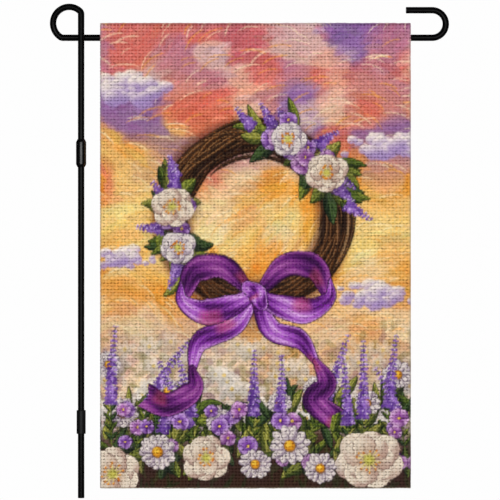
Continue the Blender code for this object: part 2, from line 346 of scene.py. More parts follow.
def cloth_path():
    """Middle line of the cloth in (y, z): bottom hem, front, top fold, header, rod pocket, seam."""
    rod = Vector((ARM_SET_BACK, ARM_HEIGHT))
    wrap = ROD_RADIUS + TOUCH_GAP + CLOTH_THICKNESS / 2
    half = CLOTH_THICKNESS / 2
    fold = (BACK_Y - FRONT_Y) / 2
    header_foot = Vector((BACK_Y, FLAG_TOP - HEADER_HEIGHT))
    pocket_foot = Vector((BACK_Y, FLAG_TOP - POCKET_DEPTH))
    over_rod = crossing(
        header_foot, tangent_from(header_foot, rod, wrap, 1),
        pocket_foot, tangent_from(pocket_foot, rod, wrap, -1),
    )
    return rounded([
        (Vector((BACK_Y, FLAG_BOTTOM + BOTTOM_HEM)), 0.0),
        (Vector((BACK_Y, FLAG_BOTTOM + half)), fold),
        (Vector((FRONT_Y, FLAG_BOTTOM + half)), fold),
        (Vector((FRONT_Y, FLAG_TOP - half)), fold),
        (Vector((BACK_Y, FLAG_TOP - half)), fold),
        (header_foot, HEADER_BEND),
        (over_rod, wrap),
        (pocket_foot, POCKET_FOOT_BEND),
        (Vector((BACK_Y, POCKET_END)), 0.0),
    ])


PATH = np.array([tuple(p) for p in cloth_path()])
PATH_RUN = np.concatenate([[0.0], np.cumsum(np.linalg.norm(np.diff(PATH, axis=0), axis=1))])
PATH_LENGTH = float(PATH_RUN[-1])
on_front = np.flatnonzero(PATH[:, 0] <= FRONT_Y + TINY)
FRONT_START = float(PATH_RUN[on_front[0]]) - float(PATH[on_front[0], 1] - FLAG_BOTTOM)


def on_path(run):
    """Place and unit way (y, z) along the cloth's middle line."""
    step = 0.1 * MM
    y = np.interp(run, PATH_RUN, PATH[:, 0])
    z = np.interp(run, PATH_RUN, PATH[:, 1])
    low = np.clip(run - step, 0, PATH_LENGTH)
    high = np.clip(run + step, 0, PATH_LENGTH)
    way_y = np.interp(high, PATH_RUN, PATH[:, 0]) - np.interp(low, PATH_RUN, PATH[:, 0])
    way_z = np.interp(high, PATH_RUN, PATH[:, 1]) - np.interp(low, PATH_RUN, PATH[:, 1])
    size = np.hypot(way_y, way_z)
    return y, z, way_y / size, way_z / size


def ripple(x, z):
    """How far the hanging cloth stands off its flat plane, nothing where the rod holds it."""
    drop = (FLAG_TOP - RIPPLE_FREE_BELOW - z) / (FLAG_HEIGHT - RIPPLE_FREE_BELOW)
    height = (z - FLAG_BOTTOM) / FLAG_HEIGHT
    bow = 0.0
    for wave in RIPPLES:
        turns = (x - FLAG_LEFT) / wave["length"] + wave["lean"] * height + wave["start"]
        bow = bow + wave["depth"] * np.sin(2 * math.pi * turns)
    return smooth(drop) * bow


def round_the_edges(u):
    """For places u on the unrolled cloth: x, stand-off from the front layer, and which way is outward.

    Past either side edge the cloth turns round a small fold and comes back behind itself.
    """
    fold, inset = SIDE_FOLD_RADIUS, SIDE_FOLD_INSET
    over = np.maximum(inset - u, u - (FLAG_WIDTH - inset))
    side = np.where(u < FLAG_WIDTH / 2, -1.0, 1.0)
    turn = np.clip(over / fold, 0, math.pi)
    behind = np.maximum(over - fold * math.pi, 0)
    corner = np.where(side < 0, FLAG_LEFT + inset, FLAG_RIGHT - inset)
    turned = over > 0
    x = np.where(turned, corner + side * (fold * np.sin(turn) - behind), FLAG_LEFT + u)
    lift = np.where(turned, fold * np.cos(turn) - fold, 0.0)
    out_x = np.where(turned, side * np.sin(turn), 0.0)
    out = np.where(turned, np.cos(turn), 1.0)
    return x, lift, out_x, out


# Yarns

painted = []


def drift(rng, count, steps, step_length, reach):
    """Slow random wander along each of several yarns, of about one unit."""
    knots = max(3, int(steps * step_length / reach) + 3)
    places = np.linspace(0, knots - 1.001, steps)
    low = places.astype(int)
    part = smooth(places - low)
    values = rng.normal(0.0, 1.0, (count, knots + 1))
    return values[:, low] * (1 - part) + values[:, low + 1] * part


def mesh_of(name, points, quads, ends):
    """A mesh from joined arrays of four-cornered faces and end faces."""
    corners = np.concatenate([quads.ravel(), ends.ravel()])
    sizes = np.concatenate([np.full(len(quads), quads.shape[1]), np.full(len(ends), ends.shape[1])])
    starts = np.concatenate([[0], np.cumsum(sizes)[:-1]])
    mesh = bpy.data.meshes.new(name)
    mesh.vertices.add(len(points))
    mesh.vertices.foreach_set("co", points.astype(np.float32).ravel())
    mesh.loops.add(len(corners))
    mesh.loops.foreach_set("vertex_index", corners.astype(np.int32))
    mesh.polygons.add(len(sizes))
    mesh.polygons.foreach_set("loop_start", starts.astype(np.int32))
    mesh.polygons.foreach_set("use_smooth", np.ones(len(sizes), bool))
    mesh.update(calc_edges=True)
    return mesh


def hold_value(mesh, name, values):
    """Holds one value for each vertex."""
    held = mesh.attributes.new(name, "FLOAT", "POINT")
    held.data.foreach_set("value", values.astype(np.float32).ravel())


def hold_uv(mesh, name, across, up):
    """Holds a UV map, one place for each face corner."""
    places = np.stack([across, up], axis=-1).astype(np.float32)
    mesh.uv_layers.new(name=name).data.foreach_set("uv", places.ravel())


def yarns(name, y, mat):
    """Many yarns as one mesh of flattened tubes.

    y holds arrays of (yarns, steps), or of (yarns, steps, 3) for places and directions.
    """
    count, steps = y["half_width"].shape
    angles = math.pi / 2 + 2 * math.pi * np.arange(YARN_SIDES) / YARN_SIDES
    wide = np.cos(angles)[None, None, :] * y["half_width"][:, :, None]
    tall = np.sin(angles)[None, None, :] * y["half_height"][:, :, None]
    points = y["centre"][:, :, None, :] + y["across"][:, :, None, :] * wide[..., None]
    points = (points + y["normal"][:, :, None, :] * tall[..., None]).reshape(-1, 3)
    yarn, step, side = np.indices((count, steps - 1, YARN_SIDES))
    here = (yarn * steps + step) * YARN_SIDES
    after = here + YARN_SIDES
    beside = (side + 1) % YARN_SIDES
    quads = np.stack([here + side, after + side, after + beside, here + beside], axis=-1).reshape(-1, 4)
    first = np.arange(count)[:, None] * steps * YARN_SIDES + np.arange(YARN_SIDES)[None, :]
    last = first + (steps - 1) * YARN_SIDES
    mesh = mesh_of(name, points, quads, np.concatenate([first, last[:, ::-1]]))

    # Strips side by side, one for each yarn, and the end faces in free bands below and above them
    corner = np.stack([side, side, side + 1, side + 1], axis=-1).reshape(-1, 4)
    stage = np.stack([step, step + 1, step + 1, step], axis=-1).reshape(-1, 4)
    strip = yarn.reshape(-1, 1)
    strip_u = (strip + STRIP_MARGIN + (1 - 2 * STRIP_MARGIN) * corner / YARN_SIDES) / count
    strip_v = END_BAND + (1 - 2 * END_BAND) * stage / (steps - 1)
    end_u = (np.arange(count)[:, None] + 0.5 + 0.4 * np.cos(angles)) / count
    end_v = np.repeat(END_BAND * (0.45 + 0.40 * np.sin(angles))[None, :], count, 0)
    top_v = 1 - 0.9 * END_BAND + end_v[:, ::-1]
    hold_uv(
        mesh, "OFBake", np.concatenate([strip_u.ravel(), end_u.ravel(), end_u[:, ::-1].ravel()]),
        np.concatenate([strip_v.ravel(), end_v.ravel(), top_v.ravel()]),
    )

    # Millimetres round and along each yarn, for its fibres
    ends = np.zeros(2 * count * YARN_SIDES)
    hold_uv(
        mesh, "Fibres", np.concatenate([(corner * FIBRE_TURN + strip * FIBRE_STAGGER).ravel(), ends]),
        np.concatenate([(stage * y["step_length"] / MM).ravel(), ends]),
    )

    mesh.set_sharp_from_angle(angle=math.radians(70))
    hold_value(mesh, "level", (y["depth"][:, :, None] + tall) / MM)
    hold_value(mesh, "facing", np.broadcast_to(np.sin(angles), (count, steps, YARN_SIDES)))
    painted.append((
        mesh,
        ((y["u"][:, :, None] + y["cross_u"] * wide) / MM).ravel(),
        ((y["v"][:, :, None] + y["cross_v"] * wide) / MM).ravel(),
        np.repeat(y["tone"], steps * YARN_SIDES),
    ))
    return finished(name, mesh, mat)


def in_groups(name, y, groups, mat):
    """The yarns of one set, shared out between several pieces."""
    count = len(y["tone"])
    cuts = [round(count * g / groups) for g in range(groups + 1)]
    pieces = []
    for number, (a, b) in enumerate(zip(cuts, cuts[1:]), 1):
        share = {key: value[a:b] if isinstance(value, np.ndarray) else value for key, value in y.items()}
        pieces.append(yarns(f"{name}_{number}", share, mat))
    return pieces


def crossed_yarns(yarn, seed, homes, stretch):
    """Yarns of one kind at places homes on the unrolled cloth, all along one stretch of it."""
    rng = np.random.default_rng(seed)
    total, steps = len(homes), len(stretch)
    step_length = yarn["crossing"] / yarn["steps"]
    place = homes[:, None] + yarn["misplaced"] * rng.normal(0, 1, (total, 1))
    place = place + yarn["wander"] * drift(rng, total, steps, step_length, yarn["wander_reach"])
    if yarn["upright"]:
        u, run = np.broadcast_arrays(place, stretch)
    else:
        half = yarn["width"] / 2
        u, run = np.broadcast_arrays(stretch, np.clip(place, half, PATH_LENGTH - half))
    y, z, way_y, way_z = on_path(run)
    x, lift, out_x, out = round_the_edges(u)
    number = np.round(homes / yarn["pitch"] - 0.5).astype(int)
    first = yarn["first"] * np.where(number % 2 == 0, 1.0, -1.0)
    over = first[:, None] * np.cos(math.pi * (stretch / yarn["crossing"] - 0.5))[None, :]
    depth = yarn["crimp"] * over
    normal = np.stack([out_x, -way_z * out, way_y * out], axis=-1)
    if yarn["upright"]:
        across = np.stack([out, way_z * out_x, -way_y * out_x], axis=-1)
    else:
        across = np.stack([np.zeros_like(y), -way_y, -way_z], axis=-1)
    stand = lift + out * depth
    centre = np.stack([x + out_x * depth, y - way_z * stand, z + way_y * stand], axis=-1)
    centre[..., 1] += ripple(x, z)
    swell = 1 + yarn["uneven"] * rng.normal(0, 1, (total, 1))
    swell = swell + yarn["slubs"] * drift(rng, total, steps, step_length, yarn["slub_reach"])
    half_width = yarn["width"] / 2 * swell * (yarn["pressed"] + yarn["spread"] * np.abs(over))
    return {
        "centre": centre, "across": across, "normal": normal, "depth": depth,
        "half_width": half_width, "half_height": np.full_like(half_width, YARN_HEIGHT / 2),
        "u": u, "v": run - FRONT_START,
        "cross_u": 1.0 if yarn["upright"] else 0.0, "cross_v": 0.0 if yarn["upright"] else -1.0,
        "step_length": step_length, "tone": yarn["tone"] * (1 + TONE_SPREAD * rng.normal(0, 1, total)),
    }


def woven_cloth(mat):
    """All the yarns of the cloth, folded at the sides where the side hems are."""
    crossings = int(PATH_LENGTH / WEFT_PITCH)
    run = np.linspace(0.0, PATH_LENGTH, crossings * WARP["steps"] + 1)
    warps = (np.arange(WARPS_ACROSS) + 0.5) * WARP_PITCH
    pieces = in_groups("burlap_warp", crossed_yarns(WARP, 11, warps, run), 2, mat)

    wefts = (np.arange(crossings) + 0.5) * WEFT_PITCH
    y, z, _, _ = on_path(wefts)
    hemmed = (y < FRONT_Y + 0.01 * MM) & (z > SIDE_HEM_LOW) & (z < SIDE_HEM_HIGH)
    reach = SIDE_FOLD_RADIUS * math.pi + SIDE_HEM - 2 * SIDE_FOLD_INSET
    folded_steps = round((FLAG_WIDTH + 2 * reach) / WARP_PITCH * WEFT["steps"])
    folded = np.linspace(-reach, FLAG_WIDTH + reach, folded_steps + 1)
    plain = np.linspace(-FRINGE, FLAG_WIDTH + FRINGE, WARPS_ACROSS * WEFT["steps"] + 1)
    pieces += in_groups("burlap_weft", crossed_yarns(WEFT, 12, wefts[hemmed], folded), 2, mat)
    pieces += in_groups("burlap_weft_ends", crossed_yarns(WEFT, 13, wefts[~hemmed], plain), 1, mat)

    low, high = wefts[hemmed][0] - WEFT_PITCH / 2, wefts[hemmed][-1] + WEFT_PITCH / 2
    hem_run = run[(run > low) & (run < high)]
    hem_warps = (np.arange(-HEM_WARPS, 0) + 0.5) * WARP_PITCH
    hem_warps = np.concatenate([hem_warps, FLAG_WIDTH - hem_warps[::-1]])
    pieces += in_groups("burlap_hem_warp", crossed_yarns(WARP, 14, hem_warps, hem_run), 1, mat)
    return pieces


def pit_shade_sheet(mat):
    """A closed inner sheet that shows in the pits between the yarns, put there to carry their painted
    shade.
    """
    # This sheet is no part of real burlap: its colour is painted shade for the pits
    bm = bmesh.new()
    run = np.linspace(SHADE_SHEET_MARGIN, PATH_LENGTH - SHADE_SHEET_MARGIN, SHADE_SHEET_ROWS)
    y, z, way_y, way_z = on_path(run)
    rings = []
    for x in np.linspace(FLAG_LEFT + SHADE_SHEET_MARGIN, FLAG_RIGHT - SHADE_SHEET_MARGIN, SHADE_SHEET_SECTIONS):
        lift = ripple(np.full_like(z, x), z)
        sides = []
        for offset in (SHADE_SHEET_THICKNESS / 2, -SHADE_SHEET_THICKNESS / 2):
            sides.append([(x, a, b) for a, b in zip(y + lift - offset * way_z, z + offset * way_y)])
        ring = [bm.verts.new(p) for p in sides[0] + sides[1][::-1]]
        rings.append([bm.edges.new((a, b)) for a, b in zip(ring, ring[1:] + ring[:1])])
    for near, far in zip(rings, rings[1:]):
        bmesh.ops.bridge_loops(bm, edges=near + far)
    for end in (rings[0], rings[-1]):
        bmesh.ops.contextual_create(bm, geom=end)
    bmesh.ops.recalc_face_normals(bm, faces=bm.faces)
    mesh = mesh_from(bm, "burlap_pit_shade", 50)
    places = np.zeros(len(mesh.vertices) * 3, np.float32)
    mesh.vertices.foreach_get("co", places)
    u = (places[::3] - FLAG_LEFT) / MM
    outer = np.tile(np.concatenate([np.ones(len(run)), -np.ones(len(run))]), len(rings))
    runs = np.tile(np.concatenate([run, run[::-1]]), len(rings))
    hold_value(mesh, "facing", outer)
    painted.append((mesh, u, (runs - FRONT_START) / MM, np.ones(len(u))))
    return finished("burlap_pit_shade", mesh, mat)


def stitch_rows(mat):
    """Short threads along the hems and the pocket, on the back where they show."""
    left, right = FLAG_LEFT + LEVEL_ROW_ENDS, FLAG_RIGHT - LEVEL_ROW_ENDS
    level = (
        FLAG_BOTTOM + BOTTOM_HEM - HEM_ROW,
        FLAG_TOP - HEADER_HEIGHT + HEADER_ROW,
        POCKET_END + POCKET_ROW,
    )
    rows = [((left, BACK_Y, z), (right, BACK_Y, z)) for z in level]
    low, high = SIDE_HEM_LOW + UPRIGHT_ROW_ENDS, SIDE_HEM_HIGH - UPRIGHT_ROW_ENDS
    hem_y = FRONT_Y + 2 * SIDE_FOLD_RADIUS
    upright = (FLAG_LEFT + SIDE_HEM - SIDE_ROW, FLAG_RIGHT - SIDE_HEM + SIDE_ROW)
    rows += [((x, hem_y, low), (x, hem_y, high)) for x in upright]
    starts, ways = [], []
    for start, end in np.array(rows):
        length = np.linalg.norm(end - start)
        way = (end - start) / length
        for i in range(int(length / STITCH_PITCH)):
            starts.append(start + way * i * STITCH_PITCH)
            ways.append(way)
    starts, ways = np.array(starts), np.array(ways)
    shape = (len(starts), STITCH_STEPS)
    share = np.linspace(0, 1, STITCH_STEPS)
    arch = np.sin(math.pi * share) ** 0.6
    centre = starts[:, None, :] + ways[:, None, :] * (STITCH_LENGTH * share)[None, :, None]
    centre[..., 1] += CLOTH_THICKNESS / 2 - THREAD_SINK + THREAD_ARCH * (arch - 1)
    centre[..., 1] += ripple(centre[..., 0], centre[..., 2])
    normal = np.zeros_like(centre)
    normal[..., 1] = 1.0
    across = np.cross(ways, (0.0, 1.0, 0.0))[:, None, :].repeat(STITCH_STEPS, 1)
    plump = np.broadcast_to(THREAD_RADIUS * (0.6 + 0.4 * arch), shape)
    still = np.zeros(shape)
    return yarns("hem_stitches", {
        "centre": centre, "across": across, "normal": normal, "depth": still,
        "half_width": plump, "half_height": plump,
        "u": still, "v": still, "cross_u": 0.0, "cross_v": 0.0,
        "step_length": STITCH_LENGTH / (STITCH_STEPS - 1), "tone": np.ones(len(starts)),
    }, mat)


# Print: everything here is in millimetres from the flag's lower left corner

CURVE_STEPS = 9
SOFT_EDGE = 0.7
THINNEST = 0.05


def rgb(*levels):
    return np.array(levels) / 255.0


def blend(a, b, share):
    share = np.asarray(share, float)
    return a + (b - a) * share[..., None]


def graded(value, stops):
    """Colour along a row of (place, colour) stops."""
    places = [place for place, _ in stops]
    channels = zip(*[colour for _, colour in stops])
    return np.stack([np.interp(value, places, channel) for channel in channels], axis=-1)


def blotches(u, v, size, seed):
    """Soft random field from 0 to 1 with blotches of about the given size."""
    grid = np.random.default_rng(seed).random((48, 48))
    a = np.asarray(u) / size + 20.3
    b = np.asarray(v) / size + 20.7
    i, j = np.floor(a).astype(int), np.floor(b).astype(int)
    s, t = smooth(a - i), smooth(b - j)
    i, j = i % 47, j % 47
    low = grid[i, j] * (1 - s) + grid[i + 1, j] * s
    high = grid[i, j + 1] * (1 - s) + grid[i + 1, j + 1] * s
    return low * (1 - t) + high * t


def patches(u, v, size, seed, level, ease):
    """The blotches above a level, with an edge that eases in."""
    return smooth((blotches(u, v, size, seed) - level) / ease)


def covered(half, off, soft=SOFT_EDGE):
    """How much paint lies at a distance off the middle of a mark that is half to either side."""
    return smooth((half - np.abs(off)) / soft + 0.5)


def towards(angle):
    """A step of one unit in a direction."""
    return np.array([math.cos(angle), math.sin(angle)])


def bent_line(base, angle, length, bend, steps=6):
    """A line that starts at base and turns evenly by bend on its way."""
    points = [np.array(base, float)]
    for i in range(steps):
        points.append(points[-1] + length / steps * towards(angle + bend * (i + 0.5) / steps))
    return np.array(points)


def drawn_line(knots):
    """A smooth line through its knots."""
    ends = np.concatenate([[2 * knots[0] - knots[1]], knots, [2 * knots[-1] - knots[-2]]])
    t = np.arange(CURVE_STEPS)[:, None] / CURVE_STEPS
    points = []
    for a, b, c, d in zip(ends, ends[1:], ends[2:], ends[3:]):
        curve = (2 * a - 5 * b + 4 * c - d) * t**2 + (3 * b - a - 3 * c + d) * t**3
        points.append(0.5 * (2 * b + (c - a) * t + curve))
    return np.concatenate(points + [knots[-1:]])


SHADE = rgb(62, 40, 62)


class Print:
    """Paint on the cloth, held where the yarns' own points lie."""

    def __init__(self, u, v):
        self.order = np.argsort(v, kind="stable")
        self.u = u[self.order]
        self.v = v[self.order]
        self.colour = np.zeros((len(u), 3))

    def result(self):
        out = np.empty_like(self.colour)
        out[self.order] = self.colour
        return out

    def within(self, low, high):
        """Which points lie in a rectangle."""
        a, b = np.searchsorted(self.v, (low[1], high[1]))
        return a + np.flatnonzero((self.u[a:b] > low[0]) & (self.u[a:b] < high[0]))

    def lay(self, pick, cover, colour):
        """Paints over some points, as fully as cover says."""
        old = self.colour[pick]
        self.colour[pick] = old + np.clip(cover, 0, 1)[:, None] * (colour - old)

    def dab(self, centre, angle, length, width, colour, strength, grain=0.4, bend=0.0):
        """One stroke of a flat brush, with the marks of its bristles."""
        centre = np.asarray(centre, float)
        reach = length / 2 + 1.0
        pick = self.within(centre - reach, centre + reach)
        x, z = self.u[pick] - centre[0], self.v[pick] - centre[1]
        along = x * math.cos(angle) + z * math.sin(angle)
        off = z * math.cos(angle) - x * math.sin(angle) + bend * along**2 / length
        inside = 1 - np.abs(2 * along / length) ** 3 - (2 * off / width) ** 2
        bristle = 0.5 + 0.5 * np.sin(off * 3.3 + 1.7 * np.sin(off * 1.1 + centre[0]) + centre[1])
        self.lay(pick, smooth(1.8 * inside) * strength * (1 - grain * bristle), colour)

    def near(self, centre, reach):
        """Which points lie in the square round a place, and their distances from it."""
        centre = np.asarray(centre, float)
        pick = self.within(centre - reach, centre + reach)
        return pick, np.hypot(self.u[pick] - centre[0], self.v[pick] - centre[1])

    def disc(self, centre, radius, colour, strength=1.0, soft=0.6):
        pick, gap = self.near(centre, radius + soft)
        self.lay(pick, strength * covered(radius, gap, soft), colour)

    def shadow(self, centre, radius, strength):
        pick, gap = self.near(centre, radius)
        self.lay(pick, strength * smooth(1.0 - gap / radius), SHADE)

    def follow(self, line, reach):
        """Points near a line: which ones, how far along it (0 to 1) and how far to its left."""
        pick = self.within(line.min(axis=0) - reach, line.max(axis=0) + reach)
        place = np.stack([self.u[pick], self.v[pick]], axis=-1)
        best = np.full(len(pick), float(reach) ** 2)
        along = np.zeros(len(pick))
        off = np.full(len(pick), float(reach))
        run = 0.0
        for start, step in zip(line, np.diff(line, axis=0)):
            length = np.hypot(*step)
            rel = place - start
            t = np.clip((rel @ step) / length**2, 0, 1)
            gap = ((rel - t[:, None] * step) ** 2).sum(axis=1)
            closer = gap < best
            best[closer] = gap[closer]
            along[closer] = run + t[closer] * length
            side = step[0] * rel[closer, 1] - step[1] * rel[closer, 0]
            off[closer] = np.copysign(np.sqrt(gap[closer]), side)
            run += length
        keep = best < reach**2
        return pick[keep], along[keep] / run, off[keep]

    def shape(self, line, half_width, colour_of, edge=None, edge_width=0.0):
        """A shape either side of a line. colour_of takes the share along and the side, -1 to 1."""
        widest = float(np.max(half_width(np.linspace(0, 1, 30))))
        pick, along, off = self.follow(line, widest + 2.0)
        half = half_width(along)
        there = half > THINNEST
        if edge is not None:
            self.lay(pick, covered(half + edge_width, off) * there, edge)
        side = np.clip(off / np.maximum(half, 0.4), -1, 1)
        self.lay(pick, covered(half, off) * there, colour_of(along, side))


# Background

SKY = (
    (-30, rgb(186, 166, 172)),
    (20, rgb(196, 176, 182)),
    (95, rgb(218, 190, 170)),
    (150, rgb(232, 180, 126)),
    (200, rgb(236, 166, 78)),
    (262, rgb(248, 216, 140)),
    (322, rgb(240, 184, 108)),
    (368, rgb(226, 148, 116)),
    (420, rgb(206, 138, 146)),
    (500, rgb(186, 122, 156)),
)


BRUSHES = (
    {"count": 420, "length": 44, "width": 13, "strength": 0.75},
    {"count": 1100, "length": 28, "width": 7, "strength": 0.70},
    {"count": 1500, "length": 15, "width": 3.6, "strength": 0.60},
)
GLINTS = 340
PUFFS = 34


def wash(u, v):
    """Background colour: rose over gold over pale lilac, in soft blotches."""
    lift = 74 * (blotches(u, v, 66, 1) - 0.5) + 30 * (blotches(u, v, 24, 2) - 0.5)
    colour = graded(v + lift, SKY)
    lilac = patches(u, v, 52, 31, 0.50, 0.16) * smooth((v - 285) / 70)
    coral = patches(u, v, 40, 17, 0.58, 0.12) * smooth((v - 230) / 90)
    amber = patches(u, v, 36, 8, 0.55, 0.12) * smooth((v - 130) / 50) * smooth((360 - v) / 60)
    pale = patches(u, v, 30, 23, 0.62, 0.10)
    colour = blend(colour, rgb(138, 104, 172), 0.80 * lilac)
    colour = blend(colour, rgb(232, 116, 92), 0.65 * coral)
    colour = blend(colour, rgb(240, 156, 48), 0.72 * amber)
    return blend(colour, rgb(248, 230, 200), 0.50 * pale)


def brush_way(u, v):
    """The way that the strokes of the sky run."""
    return 2.2 * (blotches(u, v, 75, 12) - 0.5) + 0.25


def paint_background(art):
    rng = np.random.default_rng(5)
    art.colour[:] = wash(art.u, art.v)
    for brush in BRUSHES:
        count = brush["count"]
        places = rng.uniform((-12, -20), (317, 545), (count, 2))
        colours = wash(*places.T) + rng.normal(0, 0.035, (count, 1)) + rng.normal(0, 0.02, (count, 3))
        ways = brush_way(*places.T) + rng.normal(0, 0.25, count)
        sizes = rng.uniform(0.6, 1.3, count)
        for place, colour, way, size in zip(places, np.clip(colours, 0, 1), ways, sizes):
            length, width = brush["length"] * size, brush["width"] * size
            art.dab(place, way, length, width, colour, brush["strength"], 0.45, bend=0.5)
    for place in rng.uniform((-5, 150), (310, 470), (GLINTS, 2)):
        way = float(brush_way(*place)) + rng.normal(0, 0.2)
        lit = rgb(255, 240, 200) if rng.random() < 0.6 else rgb(248, 176, 76)
        art.dab(place, way, rng.uniform(12, 34), rng.uniform(1.4, 2.4), lit, 0.55, 0.2, bend=0.5)


def paint_cloud(art, centre, spread, seed):
    """A bank of soft round puffs, pale above and lilac below."""
    rng = np.random.default_rng(seed)
    for i in range(PUFFS):
        share = i / (PUFFS - 1)
        x = centre[0] + rng.normal(0, spread * 0.75)
        z = centre[1] + (0.42 - 0.85 * share) * spread * 0.75 + rng.normal(0, spread * 0.10)
        size = spread * rng.uniform(0.22, 0.46) * (1.1 - 0.5 * abs(x - centre[0]) / (2 * spread))
        pick, _ = art.near((x, z), size * 1.3)
        du, dv = (art.u[pick] - x) / size, (art.v[pick] - z) / (size * 0.72)
        ragged = 0.34 * (blotches(art.u[pick], art.v[pick], size * 0.35, seed + i) - 0.5)
        inside = 1 - np.hypot(du, dv) + ragged
        lit = smooth(0.55 + 0.55 * dv - 0.25 * du - 0.35 * share)
        colour = blend(rgb(172, 146, 196), rgb(252, 240, 226), lit)
        art.lay(pick, 0.88 * smooth(inside / 0.30), colour)


# Twigs

WREATH = np.array([152.0, 268.0])
WREATH_RADIUS = 80.0
VINES = 104
TWIGS = 26
LIT_FROM = 2.2
VINE_DARK, VINE_LIGHT, VINE_SHINE = rgb(62, 38, 24), rgb(124, 80, 46), rgb(204, 154, 96)
TWIG_DARK, TWIG_LIGHT = rgb(52, 32, 20), rgb(140, 92, 54)


def on_wreath(turn, out=0.0):
    """A place on the ring of the wreath, or out of it by a distance."""
    return WREATH + (WREATH_RADIUS + out) * towards(turn)


def paint_wreath(art):
    """Long thin vines turned round in a ring, and twig ends that stand off it."""
    rng = np.random.default_rng(21)
    pick = art.within(WREATH - WREATH_RADIUS - 26, WREATH + WREATH_RADIUS + 26)
    x, z = art.u[pick] - WREATH[0], art.v[pick] - WREATH[1]
    radius, turn = np.hypot(x, z), np.arctan2(z, x)
    ring = np.abs(radius - WREATH_RADIUS + 3 * np.cos(turn - 0.8))
    art.lay(pick, 0.55 * smooth((23 - ring) / 9), rgb(96, 52, 40))
    art.lay(pick, 0.9 * smooth((14.5 - ring) / 4), rgb(38, 22, 16))
    light = 0.5 + 0.5 * np.cos(turn - LIT_FROM)
    for i in range(VINES):
        layer = i / (VINES - 1)
        middle = WREATH_RADIUS + rng.normal(0, 6.6 * (1.1 - 0.4 * layer))
        swing = rng.uniform(1.5, 5.0)
        waves = rng.integers(2, 6)
        start = rng.uniform(-math.pi, math.pi)
        sweep = rng.uniform(0.9, 3.2)
        thick = rng.uniform(0.9, 1.9)
        share = (turn - start) % (2 * math.pi) / sweep
        route = middle + swing * np.sin(waves * turn + start * 3)
        route = route + 7 * np.abs(share - 0.5) ** 3 * rng.uniform(-2, 2)
        off = radius - route
        half = thick * smooth(share * 6) * smooth((1 - share) * 6)
        close = (share < 1) & (np.abs(off) < half + 1.2)
        body = VINE_DARK * (1 - layer) + VINE_LIGHT * layer + rng.normal(0, 0.03)
        on, off, half = pick[close], off[close], half[close]
        lit = np.clip(off / np.maximum(half, 0.3), -1, 1) * np.cos(turn[close] - LIT_FROM)
        shine = 0.5 * layer * smooth((lit - 0.15) / 0.5) * (0.4 + 0.6 * light[close])
        colour = blend(body * 0.45, body * 1.12, smooth(0.5 + 0.5 * lit))
        art.lay(on, 0.85 * covered(half + 0.5, off, 0.6), body * 0.35)
        art.lay(on, covered(half, off), blend(colour, VINE_SHINE, shine))
    for _ in range(TWIGS):
        way = rng.uniform(-math.pi, math.pi)
        out = rng.choice([-1, 1], p=[0.3, 0.7])
        base = on_wreath(way, out * rng.uniform(2, 9))
        spin = rng.choice([-1, 1])
        lean = spin * (1.25 if out > 0 else 1.85)
        line = bent_line(base, way + lean, rng.uniform(14, 30), spin * rng.uniform(-0.2, 0.9))
        light_side = TWIG_LIGHT * rng.uniform(0.7, 1.2)
        paint_stem(art, line, 1.0, 0.75, (TWIG_DARK, light_side))


def paint_stem(art, line, half, taper, tones):
    """A thin round stem that tapers by a part of its width."""
    dark, light = tones

    def tint(_, side):
        return blend(dark, light, smooth(0.5 + 0.5 * side))

    art.shape(line, lambda t: half * (1 - taper * t), tint)


# Leaves and blossoms

GREENS = (
    (rgb(38, 52, 24), rgb(116, 134, 52)),
    (rgb(52, 66, 28), rgb(160, 168, 66)),
    (rgb(30, 44, 28), rgb(88, 112, 62)),
    (rgb(70, 78, 32), rgb(196, 190, 92)),
)


def paint_leaf(art, base, angle, length, width, tones, bend):
    dark, light = tones
    line = bent_line(base, angle, length, bend)
    lit = 1.0 if math.cos(angle + bend / 2) > 0 else -1.0

    def half(t):
        return width / 2 * np.sin(math.pi * np.clip(t, 0, 1) ** 0.8) ** 0.85

    def tint(t, side):
        away = np.abs(side)
        share = 0.42 + 0.38 * side * lit + 0.16 * np.sin(26 * t - 7 * away) * (away > 0.15)
        colour = blend(dark, light, smooth(share))
        return blend(colour, light * 1.12, 0.7 * smooth((0.2 - away) / 0.2) * (t < 0.92))

    art.shape(line, half, tint, edge=dark * 0.55, edge_width=0.5)


def paint_petal(art, kind, centre, angle, length, width, colours, bend):
    """One petal from the flower's middle outward, colours are (base, body, tip, edge)."""
    base, body, tip, edge = colours
    blunt, gather = kind["blunt"], kind["gather"]
    line = bent_line(centre, angle, length, bend)
    wave = angle * 7.0

    def half(t):
        rise = smooth(np.clip(t / blunt, 0, 1)) * (1 - gather) + gather
        fall = np.sqrt(np.clip(1 - (np.clip(t - blunt, 0, 1) / (1 - blunt)) ** 2, 0, 1))
        return width / 2 * rise * fall * (1 + kind["ruffle"] * np.sin(30 * t + wave))

    def tint(t, side):
        away = np.abs(side)
        from_light = side * math.sin(angle - 2.3)
        colour = blend(base, body, smooth(t / 0.35))
        colour = blend(colour, tip, smooth((t - 0.35) / 0.45))
        veins = 0.5 + 0.5 * np.sin(side * 11 + wave) * smooth(1.2 - t)
        colour = colour * (1 - 0.09 * veins)[:, None]
        crease = smooth((0.16 - away) / 0.16) * smooth((0.8 - t) / 0.5)
        colour = blend(colour, edge, 0.38 * crease)
        colour = blend(colour, edge, 0.62 * smooth((from_light + 0.15) / 0.95))
        rim = smooth((away - 0.72) / 0.2) * (from_light < 0)
        return blend(colour, np.minimum(tip * 1.06, 1.0), 0.7 * rim)

    art.shape(line, half, tint, edge=edge * 0.66, edge_width=0.55)


